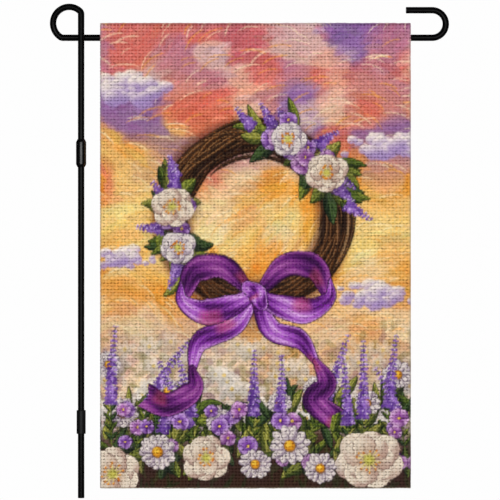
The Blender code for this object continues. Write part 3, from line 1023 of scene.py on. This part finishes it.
def paint_blossom(art, kind, centre, size, colours, rng):
    """A round flower seen nearly from the front."""
    centre = np.asarray(centre, float)
    petals = kind["petals"]
    art.shadow(centre + np.array([0.08, -0.10]) * size, size * 0.78, 0.45)
    tilt = rng.uniform(0.82, 1.0)
    start = rng.uniform(0, 2 * math.pi)
    for layer in range(kind["layers"]):
        reach = size / 2 * (1 - 0.24 * layer)
        wide = 2 * math.pi * reach / petals * kind["width"]
        for i in rng.permutation(petals):
            angle = start + layer * math.pi / petals + 2 * math.pi * i / petals + rng.normal(0, 0.07)
            stretch = math.hypot(math.cos(angle), tilt * math.sin(angle)) * rng.uniform(0.9, 1.06)
            paint_petal(art, kind, centre, angle, reach * stretch, wide, colours, rng.normal(0, 0.14))
    kind["heart"](art, centre, size, rng)


def daisy_heart(art, centre, size, _):
    """A gold button with darker grains round it."""
    radius = size * 0.13
    art.disc(centre + np.array([0.2, -0.6]), radius + 0.9, rgb(120, 78, 30), 0.8)
    art.disc(centre, radius, rgb(226, 158, 38))
    art.disc(centre + np.array([-0.25, 0.3]) * radius, radius * 0.62, rgb(250, 206, 74), 0.9, 1.4)
    grains = 14
    for i in range(grains):
        art.disc(centre + radius * 0.8 * towards(2 * math.pi * i / grains), 0.5, rgb(176, 104, 24), 0.7)


def open_heart(art, centre, size, rng):
    """Stamens round a green middle."""
    art.disc(centre, size * 0.075, rgb(164, 160, 66), 0.9, 2.0)
    stamens = 13

    def tint(t, _):
        return blend(rgb(196, 190, 96), rgb(240, 222, 140), t)

    for i in range(stamens):
        way = 2 * math.pi * i / stamens + rng.normal(0, 0.1)
        length = size * rng.uniform(0.12, 0.19)
        line = bent_line(centre, way, length, rng.normal(0, 0.3), 3)
        art.shape(line, lambda t: np.full_like(t, 0.45), tint)
        art.disc(line[-1], 1.15, rgb(196, 104, 26))
        art.disc(line[-1] + np.array([-0.3, 0.35]), 0.65, rgb(248, 184, 66))
    art.disc(centre, size * 0.035, rgb(206, 196, 92), 1.0, 1.0)


def violet_heart(art, centre, size, _):
    """A gold eye in a dark ring."""
    art.disc(centre, size * 0.11, rgb(92, 38, 110), 0.7)
    art.disc(centre, size * 0.075, rgb(244, 208, 96))


WHITE = (rgb(176, 178, 98), rgb(206, 190, 196), rgb(240, 228, 222), rgb(144, 122, 148))
CREAM = (rgb(200, 168, 84), rgb(222, 198, 174), rgb(244, 228, 208), rgb(170, 132, 120))
VIOLET = (rgb(104, 48, 128), rgb(146, 92, 182), rgb(204, 164, 224), rgb(82, 36, 112))
MAUVE = (rgb(136, 62, 140), rgb(184, 116, 192), rgb(228, 184, 226), rgb(104, 44, 116))


def flower_kind(petals, width, layers, blunt, gather, ruffle, heart):
    """A kind of flower: its petals are widest at blunt and start as narrow as gather."""
    return {
        "petals": petals, "width": width, "layers": layers, "blunt": blunt, "gather": gather,
        "ruffle": ruffle, "heart": heart,
    }


SMALL_VIOLET = flower_kind(5, 1.05, 1, 0.62, 0.12, 0.0, violet_heart)
WREATH_BLOSSOM = flower_kind(6, 0.95, 2, 0.50, 0.14, 0.035, open_heart)
OPEN_BLOSSOM = flower_kind(7, 0.98, 2, 0.50, 0.14, 0.04, open_heart)
FAR_DAISY = flower_kind(17, 1.1, 2, 0.7, 0.3, 0.0, daisy_heart)
NEAR_DAISY = flower_kind(18, 1.0, 2, 0.7, 0.3, 0.0, daisy_heart)


def violet_tones(rng):
    return VIOLET if rng.random() < 0.6 else MAUVE


def paint_sprig(art, base, angle, length, rng, bend):
    """A stem with whorls of small violet flowers up its top part."""
    whorls = max(7, round(length * 0.62 / 4.6))
    first = round(whorls * 0.62)
    line = bent_line(base, angle, length, bend, steps=whorls + first)
    paint_stem(art, line, 0.75, 0.4, (rgb(58, 74, 34), rgb(132, 144, 66)))
    for i in range(2, first, 2):
        for side in (-1, 1):
            paint_leaf(art, line[i], angle + side * 0.55, 11, 3.0, GREENS[rng.integers(4)], side * 0.3)
    for i in range(first, whorls + first + 1):
        share = (i - first) / whorls
        way = angle + bend * i / (whorls + first)
        size = 6.6 * (1.1 - 0.72 * share)
        for turn in rng.permutation(5):
            lean = (turn - 2) / 2
            at = line[i] + np.array([-math.sin(way), math.cos(way)]) * lean * size * 0.62
            at = at + rng.normal(0, 0.4, 2)
            pale = rng.uniform(0, 1) * (0.55 + 0.45 * (lean < 0.2))
            tone = blend(rgb(86, 46, 134), rgb(190, 150, 224), pale)
            art.dab(at, way - lean * 0.8, size * 0.95, size * 0.62, tone, 0.95, 0.1)
            if rng.random() < 0.4:
                art.disc(at + np.array([-0.4, 0.5]), 0.65, rgb(238, 218, 246), 0.85)


# Ribbon

SATIN = (rgb(72, 18, 88), rgb(132, 56, 158), rgb(180, 104, 202), rgb(230, 188, 236))
SATIN_BACK = (rgb(54, 12, 66), rgb(98, 34, 112), rgb(134, 58, 140), rgb(184, 110, 178))


# The bands in the order they are laid: places from the knot, widths at even steps, tones, notched end
BOW = (
    (((0, 0), (-20, -30), (-54, -46), (-62, -74)), (9, 18, 20, 7), SATIN, False),
    (((-62, -73), (-60, -92), (-86, -108), (-110, -98)), (7, 21, 22, 24), SATIN_BACK, True),
    (((0, 0), (16, -34), (44, -44), (60, -66)), (9, 19, 20, 6), SATIN, False),
    (((60, -65), (70, -86), (58, -104), (80, -122)), (6, 20, 22, 22), SATIN_BACK, True),
    (((-4, 2), (-30, 27), (-58, 24), (-69, 2)), (9, 20, 25, 13), SATIN_BACK, False),
    (((-73, 12), (-71, -6), (-50, -17), (-24, -11), (-2, 0)), (2, 15, 26, 21, 9), SATIN, False),
    (((4, 2), (30, 29), (58, 27), (70, 5)), (9, 20, 25, 13), SATIN_BACK, False),
    (((74, 15), (73, -3), (52, -15), (25, -11), (2, 0)), (2, 15, 26, 21, 9), SATIN, False),
    (((-7, 7), (1, 2), (6, -9)), (13, 19, 13), SATIN, False),
)


def paint_ribbon(art, knots, widths, tones, seed, notch):
    """A satin band along a line, with lengthwise folds and a lit edge."""
    deep, dark, body, shine = tones
    phase = np.random.default_rng(seed).uniform(0, 6)
    pick, along, off = art.follow(drawn_line(knots), max(widths) / 2 + 3)
    half = np.interp(along, np.linspace(0, 1, len(widths)), widths) / 2
    side = off / np.maximum(half, 0.5)
    if notch:
        keep = along < 1 - 0.075 * (1 - np.abs(np.clip(side, -1, 1)))
        pick, along, off, half, side = (a[keep] for a in (pick, along, off, half, side))
    art.lay(pick, 0.9 * covered(half + 0.8, off), rgb(46, 10, 56))
    roll = 0.5 + 0.5 * np.sin(along * 9.0 + phase + 1.3 * side)
    folds = 0.5 + 0.5 * np.sin(side * 7.5 + 5 * along + phase)
    fine = 0.5 + 0.5 * np.sin(side * 21 + 9 * np.sin(along * 6 + phase))
    light = np.clip(0.55 * roll + 0.30 * folds + 0.18 * fine - 0.05, 0, 1)
    colour = graded(light, ((0.0, deep), (0.35, dark), (0.62, body), (1.0, shine)))
    rim = 0.55 * smooth((np.abs(side) - 0.80) / 0.12)
    colour = blend(colour, shine, rim * (side > 0))
    colour = blend(colour, deep, rim * (side < 0))
    glow = smooth((0.5 + 0.5 * np.sin(along * 6.3 + phase * 2) - 0.8) / 0.2) * smooth((0.4 - side) / 0.6)
    colour = blend(colour, rgb(196, 86, 96), 0.45 * glow)
    art.lay(pick, covered(half, off), colour)


def paint_bow(art, knot):
    """Two loops, two tails and the knot over them."""
    knot = np.array(knot, float)
    art.shadow(knot - (4, 10), 44, 0.4)
    for seed, (places, widths, tones, notch) in enumerate(BOW, 41):
        paint_ribbon(art, knot + places, widths, tones, seed, notch)


# Layout


def paint_spray(art, middle, spread, seed, leaves, big, small):
    """Leaves, sprigs and blossoms gathered on a stretch of the wreath."""
    rng = np.random.default_rng(seed)

    def way_of(share):
        return middle + spread * (share - 0.5)

    for _ in range(leaves):
        share = rng.random()
        turn = way_of(share)
        out = rng.normal(0, 7)
        away = np.sign(share - 0.5) * rng.uniform(0.5, 1.5)
        angle = turn + away if out > -3 else turn + math.pi - away
        length, width = rng.uniform(20, 36), rng.uniform(9, 14)
        tones = GREENS[rng.integers(4)]
        paint_leaf(art, on_wreath(turn, out), angle, length, width, tones, rng.normal(0, 0.5))
    sprigs = 7
    for i in range(sprigs):
        share = i / (sprigs - 1)
        turn = way_of(share)
        angle = turn + np.sign(share - 0.5) * rng.uniform(0.7, 1.4)
        length = rng.uniform(30, 44)
        paint_sprig(art, on_wreath(turn), angle, length, rng, rng.normal(0, 0.4))
    for _ in range(small):
        turn = way_of(rng.uniform(0.08, 0.92))
        at = on_wreath(turn, rng.normal(0, 9))
        tones = violet_tones(rng)
        paint_blossom(art, SMALL_VIOLET, at, rng.uniform(15, 22), tones, rng)
    for i in range(big):
        at = on_wreath(way_of((i + 0.5) / big), 2)
        paint_blossom(art, WREATH_BLOSSOM, at, 42 - 5 * (i % 2), WHITE if i % 2 else CREAM, rng)


HAZE = (
    rgb(236, 226, 206), rgb(186, 170, 168), rgb(112, 114, 58),
    rgb(88, 92, 48), rgb(134, 98, 112), rgb(150, 138, 96),
)
PALE_BLOOM = rgb(252, 247, 240)
SIXTH_TURN = 1.047


def paint_far_meadow(art):
    """Pale flowers and leaves out of focus behind the near ones."""
    rng = np.random.default_rng(60)
    for _ in range(560):
        u = rng.uniform(-10, 315)
        v = 40 + 105 * rng.random() ** 0.9 * (0.8 + 0.5 * blotches(u, 0.0, 60, 4))
        far = np.clip((v - 40) / 110, 0, 1)
        tone = HAZE[rng.integers(len(HAZE))]
        tone = blend(tone, wash(u, v), 0.12 + 0.38 * far)
        way, length, width = rng.uniform(0, 3.1), rng.uniform(8, 17), rng.uniform(4, 8)
        art.dab((u, v), way, length, width, tone, 0.85 - 0.35 * far, 0.25)
    for _ in range(105):
        u, v = rng.uniform(-6, 311), rng.uniform(56, 146)
        far = (v - 56) / 90
        tone = blend(PALE_BLOOM, wash(u, v), 0.08 + 0.35 * far)
        start = rng.uniform(0, 6)
        for i in range(6):
            way = start + i * SIXTH_TURN
            size = rng.uniform(4.5, 7)
            at = (u + size * math.cos(way), v + 0.8 * size * math.sin(way))
            shaded = tone * (0.90 + 0.10 * math.sin(way))
            art.dab(at, way, size * 2, size * 1.15, shaded, 0.85 - 0.3 * far, 0.1)
        art.disc((u, v), 2.0, rgb(232, 188, 70), 0.8 - 0.4 * far, 1.6)


# Places and sizes of the meadow's flowers, as (u, v, size), and of its sprigs
FAR_DAISIES = (
    (22, 74, 30), (66, 96, 26), (118, 66, 28), (176, 84, 24),
    (214, 98, 30), (262, 84, 26), (292, 112, 30), (8, 122, 26),
)
NEAR_FLOWERS = (
    (104, 30, 50, OPEN_BLOSSOM, CREAM),
    (264, 28, 68, OPEN_BLOSSOM, CREAM),
    (56, 36, 38, NEAR_DAISY, WHITE),
    (186, 42, 40, NEAR_DAISY, WHITE),
    (152, 24, 32, NEAR_DAISY, WHITE),
    (216, 20, 32, NEAR_DAISY, WHITE),
    (12, 14, 58, OPEN_BLOSSOM, CREAM),
)
SPRIG_PLACES = (12, 34, 56, 92, 104, 150, 166, 200, 244, 256, 284, 300)
UPRIGHT = 1.57


def paint_meadow(art):
    """Flowers along the foot of the flag."""
    rng = np.random.default_rng(61)
    pick = art.within((-20, -40), (330, 120))
    edge = art.v[pick] - 22 - 26 * blotches(art.u[pick], 0 * art.u[pick], 22, 9)
    art.lay(pick, 0.94 * smooth(1 - edge / 34), rgb(58, 34, 20))
    for _ in range(160):
        u = rng.uniform(-8, 313)
        v = rng.uniform(-6, 66)
        way, length, width = rng.normal(UPRIGHT, 0.5), rng.uniform(14, 30), rng.uniform(3, 6)
        tone = blend(rgb(48, 54, 26), rgb(128, 124, 62), rng.random() * v / 58)
        art.dab((u, v), way, length, width, tone, 0.8)
    for _ in range(190):
        u = rng.uniform(-6, 311)
        v = rng.uniform(8, 76) * (0.75 + 0.5 * blotches(u, 0.0, 50, 3))
        way, length, width = rng.normal(UPRIGHT, 0.75), rng.uniform(18, 36), rng.uniform(6, 11)
        tones = GREENS[rng.integers(4)]
        paint_leaf(art, (u, v), way, length, width, tones, rng.normal(0, 0.6))
    for u, v, size in FAR_DAISIES:
        paint_blossom(art, FAR_DAISY, (u, v), size, WHITE, rng)
    for u in SPRIG_PLACES:
        v, way, length = rng.uniform(20, 40), rng.normal(UPRIGHT, 0.16), rng.uniform(80, 128)
        paint_sprig(art, (u, v), way, length, rng, rng.normal(0, 0.3))
    for _ in range(30):
        u, v = rng.uniform(-4, 309), rng.uniform(22, 80)
        tones = violet_tones(rng)
        paint_blossom(art, SMALL_VIOLET, (u, v), rng.uniform(13, 20), tones, rng)
    for u, v, size, kind, tones in NEAR_FLOWERS:
        paint_blossom(art, kind, (u, v), size, tones, rng)


# Clouds, as (middle, spread, seed)
CLOUDS = (((30, 392), 30, 71), ((286, 336), 26, 72), ((268, 190), 24, 73), ((20, 226), 20, 74))


def printed_colours(u, v):
    """The whole design, at the given places, with its grit and painted shade greying its folded edges."""
    art = Print(u, v)
    paint_background(art)
    for middle, spread, seed in CLOUDS:
        paint_cloud(art, middle, spread, seed)
    paint_far_meadow(art)
    paint_wreath(art)
    paint_spray(art, 0.85, 1.25, 81, leaves=30, big=2, small=10)
    paint_spray(art, -3.0, 1.0, 82, leaves=28, big=2, small=9)
    paint_meadow(art)
    paint_bow(art, (152, 190))
    grit = blotches(art.u, art.v, 1.3, 91) - 0.5 + 0.6 * (blotches(art.u, art.v, 4.0, 92) - 0.5)
    art.colour = np.clip(art.colour * (1 + 0.07 * grit[:, None]), 0, 1)
    # Painted shade: greyer and darker along the folded edges of the cloth, where they turn away from the
    # light
    rim = np.min([art.u, FLAG_WIDTH / MM - art.u, art.v, FLAG_HEIGHT / MM - art.v], axis=0)
    rim = smooth((1.5 - rim) / 0.7) * smooth((rim + 0.9) / 0.5)
    art.colour = blend(art.colour, 0.62 * art.colour + 0.16, 0.75 * rim)
    return art.result()


def lay_print():
    """Gives every yarn and the pit shade sheet their share of the one design."""
    _, across, up, _ = zip(*painted)
    colours = printed_colours(np.concatenate(across), np.concatenate(up))
    linear = np.where(colours <= 0.04045, colours / 12.92, ((colours + 0.055) / 1.055) ** 2.4)
    start = 0
    for mesh, _, _, tone in painted:
        share = linear[start:start + len(tone)] * tone[:, None]
        start += len(tone)
        held = np.concatenate([share, np.ones((len(tone), 1))], axis=1)
        layer = mesh.attributes.new("print", "FLOAT_COLOR", "POINT")
        layer.data.foreach_set("color", held.astype(np.float32).ravel())


# Materials


class Nodes:
    """Short forms for making and joining shader nodes."""

    def __init__(self, name):
        self.mat = bpy.data.materials.new(name)
        self.mat.use_nodes = True
        self.tree = self.mat.node_tree
        self.shader = self.tree.nodes["Principled BSDF"]

    def join(self, source, socket):
        if isinstance(source, bpy.types.NodeSocket):
            self.tree.links.new(source, socket)
        elif isinstance(source, (tuple, list)) and len(source) == 3 and socket.type == "RGBA":
            socket.default_value = (*source, 1.0)
        else:
            socket.default_value = source

    def node(self, kind, **settings):
        made = self.tree.nodes.new(kind)
        for key, value in settings.items():
            setattr(made, key, value)
        return made

    def math(self, operation, a, b=0.0):
        made = self.node("ShaderNodeMath", operation=operation)
        for socket, value in zip(made.inputs, (a, b)):
            self.join(value, socket)
        return made.outputs[0]

    def span(self, value, low, high, to_low=0.0, to_high=1.0):
        """The value's way from low to high, as a way from to_low to to_high."""
        made = self.node("ShaderNodeMapRange")
        ends = {"Value": value, "From Min": low, "From Max": high, "To Min": to_low, "To Max": to_high}
        for name, end in ends.items():
            self.join(end, made.inputs[name])
        return made.outputs["Result"]

    def mix(self, share, a, b):
        made = self.node("ShaderNodeMix", data_type="RGBA")
        self.join(share, made.inputs["Factor"])
        for socket, value in zip([s for s in made.inputs if s.type == "RGBA"], (a, b)):
            self.join(value, socket)
        return [s for s in made.outputs if s.type == "RGBA"][0]

    def scaled(self, colour, factor):
        made = self.node("ShaderNodeVectorMath", operation="SCALE")
        self.join(colour, made.inputs[0])
        self.join(factor, made.inputs["Scale"])
        return made.outputs[0]

    def deepened(self, colour, power):
        """Darker and fuller, as colour looks where light bounces between the yarns."""
        made = self.node("ShaderNodeGamma")
        self.join(colour, made.inputs["Color"])
        self.join(power, made.inputs["Gamma"])
        return made.outputs["Color"]

    def grey(self, colour):
        made = self.node("ShaderNodeRGBToBW")
        self.join(colour, made.inputs["Color"])
        return made.outputs["Val"]

    def noise(self, vector, scale, detail, roughness=0.5, distortion=0.0):
        made = self.node("ShaderNodeTexNoise")
        self.join(vector, made.inputs["Vector"])
        made.inputs["Scale"].default_value = scale
        made.inputs["Detail"].default_value = detail
        made.inputs["Roughness"].default_value = roughness
        made.inputs["Distortion"].default_value = distortion
        return made.outputs["Fac"]

    def stretched(self, vector, by):
        made = self.node("ShaderNodeMapping")
        self.join(vector, made.inputs["Vector"])
        made.inputs["Scale"].default_value = by
        return made.outputs["Vector"]

    def place(self):
        return self.node("ShaderNodeTexCoord").outputs["Object"]

    def attribute(self, name, out="Fac"):
        return self.node("ShaderNodeAttribute", attribute_name=name).outputs[out]

    def bump(self, height, strength, distance):
        made = self.node("ShaderNodeBump")
        self.join(height, made.inputs["Height"])
        made.inputs["Strength"].default_value = strength
        made.inputs["Distance"].default_value = distance
        self.join(made.outputs["Normal"], self.shader.inputs["Normal"])

    def set(self, **values):
        for name, value in values.items():
            self.join(value, self.shader.inputs[name.replace("_", " ").title().replace("Ior", "IOR")])


RAW_BURLAP = (0.56, 0.46, 0.34)
SHOW_THROUGH = 0.38
INK = 0.88


def print_on_raw(n, low, high):
    """The print on the outer side, and on the inner side raw burlap that it just shows through."""
    ink = n.scaled(n.attribute("print", "Color"), INK)
    back = n.mix(SHOW_THROUGH, RAW_BURLAP, ink)
    return n.mix(n.span(n.attribute("facing"), low, high), back, ink)


def printed_burlap():
    """Yarns with strands and slubs, deeper in colour as painted shade where they sink toward the middle
    of the cloth.
    """
    n = Nodes("Printed burlap yarn")
    fibres = n.node("ShaderNodeUVMap", uv_map="Fibres").outputs["UV"]
    strands = n.noise(n.stretched(fibres, (2.2, 0.35, 1.0)), 1.0, 3.0, 0.6, 0.6)
    slubs = n.noise(n.stretched(fibres, (0.5, 0.25, 1.0)), 1.0, 1.0)
    colour = print_on_raw(n, -0.30, -0.02)
    # Painted shade: the yarn deeper in colour where it sinks toward the middle of the cloth, plain where
    # it stands out
    raised = n.span(n.math("ABSOLUTE", n.attribute("level")), 0.04, 0.30)
    colour = n.mix(raised, n.scaled(n.deepened(colour, 1.10), 0.97), colour)
    streak = n.span(strands, 0.25, 0.75, 0.86, 1.12)
    patch = n.span(slubs, 0.3, 0.7, 0.90, 1.10)
    colour = n.scaled(colour, n.math("MULTIPLY", streak, patch))
    n.set(base_color=colour, roughness=0.88, specular_ior_level=0.2)
    n.bump(strands, 0.5, 0.00012)
    return n.mat


def pit_shade_cloth():
    """Painted shade for the pits: the print deeper in colour and darker, in spots and short level rows.
    """
    n = Nodes("Burlap ground")
    colour = print_on_raw(n, -0.2, 0.2)
    # Painted shade: dimmed, spots and rows set how dark each pit is
    dimmed = n.span(n.grey(colour), 0.01, 0.30, 1.55, 0.68)
    spots = n.span(n.noise(n.place(), 240.0, 2.0, 0.6), 0.32, 0.68, 0.48, 1.55)
    level = n.stretched(n.place(), (0.12, 1.0, 1.0))
    rows = n.span(n.noise(level, 230.0, 1.0), 0.30, 0.70, 0.78, 1.25)
    light = n.math("MULTIPLY", dimmed, n.math("MULTIPLY", spots, rows))
    n.set(base_color=n.scaled(n.deepened(colour, 1.45), light), roughness=0.95, specular_ior_level=0.1)
    return n.mat


def sewing_thread():
    n = Nodes("Cream sewing thread")
    n.set(base_color=(0.62, 0.52, 0.40), roughness=0.6)
    return n.mat


def dark_surface(name, tone, wear, roughness, grain, relief, **looks):
    """A dark surface whose gloss wears in patches, over a fine grain. wear and grain are noises."""
    n = Nodes(name)
    place = n.place()
    worn = n.span(n.noise(place, *wear), 0.3, 0.7, *roughness)
    n.set(base_color=tone, roughness=worn, **looks)
    n.bump(n.noise(place, *grain), *relief)
    return n.mat


def gloss_paint():
    return dark_surface(
        "Gloss black paint", (0.0018, 0.0018, 0.0019), wear=(60.0, 4.0, 0.6), roughness=(0.16, 0.24),
        grain=(420.0, 2.0), relief=(0.12, 0.0004), specular_ior_level=0.14,
    )


def sleeve_plastic():
    return dark_surface(
        "Black sleeve plastic", (0.002, 0.002, 0.0022), wear=(90.0, 3.0), roughness=(0.24, 0.32),
        grain=(900.0, 2.0), relief=(0.15, 0.0002), ior=1.7, specular_ior_level=0.60,
    )


def sleeve_rubber():
    return dark_surface(
        "Dark rubber", (0.003, 0.003, 0.0032), wear=(70.0, 3.0), roughness=(0.42, 0.52),
        grain=(1200.0, 3.0), relief=(0.25, 0.0002), specular_ior_level=0.8,
    )


# Studio

FRAME_WIDTH = 491.0 * MM
VIEW_CENTRE = Vector((165.65 * MM, FRONT_Y, 243.3 * MM))
LENS = 200.0
SENSOR_WIDTH = 36.0
SIGHT = 50.0
ROOM_SIZE = 12.0
WHITE_ROOM = 0.99
SOFTBOX_DISTANCE = 3.2
FRONT_SOFTBOX_WIDTH = 2.6
BACK_SOFTBOX_WIDTH = 1.6
SOFTBOX_HEIGHT = 1.0
SOFTBOX_BRIGHTNESS = 2.50


def placed(name, data):
    """A new object of the studio."""
    made = bpy.data.objects.new(name, data)
    bpy.context.scene.collection.objects.link(made)
    return made


def white_room():
    """Even white light from all round, which gloss doesn't show."""
    world = bpy.data.worlds.new("White room")
    world.use_nodes = True
    light = world.node_tree.nodes["Background"].inputs
    light["Color"].default_value = (1, 1, 1, 1)
    light["Strength"].default_value = WHITE_ROOM
    world.cycles_visibility.glossy = False
    bpy.context.scene.world = world


def front_camera():
    """A long lens straight in front."""
    lens = bpy.data.cameras.new("Camera")
    lens.lens = LENS
    lens.sensor_width = SENSOR_WIDTH
    lens.clip_end = SIGHT
    camera = placed("Camera", lens)
    camera.location = VIEW_CENTRE - Vector((0, FRAME_WIDTH * LENS / SENSOR_WIDTH, 0))
    camera.rotation_euler = (math.pi / 2, 0, 0)
    bpy.context.scene.camera = camera


def white_floor():
    """The floor glows as white as the room, so it has no edge."""
    bm = bmesh.new()
    bmesh.ops.create_grid(bm, x_segments=1, y_segments=1, size=ROOM_SIZE / 2)
    mesh = bpy.data.meshes.new("floor")
    bm.to_mesh(mesh)
    bm.free()
    white = Nodes("White floor")
    white.set(base_color=(0.0, 0.0, 0.0), roughness=1.0, specular_ior_level=0.0)
    white.set(emission_color=(1.0, 1.0, 1.0), emission_strength=WHITE_ROOM)
    mesh.materials.append(white.mat)
    floor = placed("floor", mesh)
    floor.visible_glossy = False


def softbox(name, side, width):
    """An area light before (-1) or behind (1), for the thin streaks in the gloss."""
    light = bpy.data.lights.new(name, "AREA")
    light.shape = "RECTANGLE"
    light.size = width
    light.size_y = SOFTBOX_HEIGHT
    light.energy = SOFTBOX_BRIGHTNESS * math.pi * width * SOFTBOX_HEIGHT
    lamp = placed(name, light)
    lamp.location = VIEW_CENTRE + Vector((0, side * SOFTBOX_DISTANCE, 0))
    lamp.rotation_euler = (VIEW_CENTRE - lamp.location).to_track_quat("-Z", "Y").to_euler()


def studio():
    """The white room of the photo, with its camera and lamps."""
    bpy.context.scene.view_settings.view_transform = "Standard"
    white_room()
    front_camera()
    white_floor()
    softbox("Front softbox", -1, FRONT_SOFTBOX_WIDTH)
    softbox("Back softbox", 1, BACK_SOFTBOX_WIDTH)


# Assembly

black = gloss_paint()
hanger = sweep_rod("hanger_paint", hanger_route(), black)
middle = sweep_rod("middle_paint", pole_route(middle_low.z, MIDDLE_ROD_RING, middle_high.z), black)
foot = sweep_rod("foot_paint", pole_route(foot_low.z, FOOT_ROD_RING, foot_high.z), black)
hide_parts("hanger_rod")
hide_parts("middle_rod")
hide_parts("lower_rod")

plastic = upper_sleeve(sleeve_plastic())
rubber = lower_sleeve(sleeve_rubber())
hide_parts("upper_sleeve")
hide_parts("lower_sleeve")

cloth_yarns = woven_cloth(printed_burlap())
pit_shade = pit_shade_sheet(pit_shade_cloth())
stitches = stitch_rows(sewing_thread())
lay_print()
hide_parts("flag_cloth")
studio()
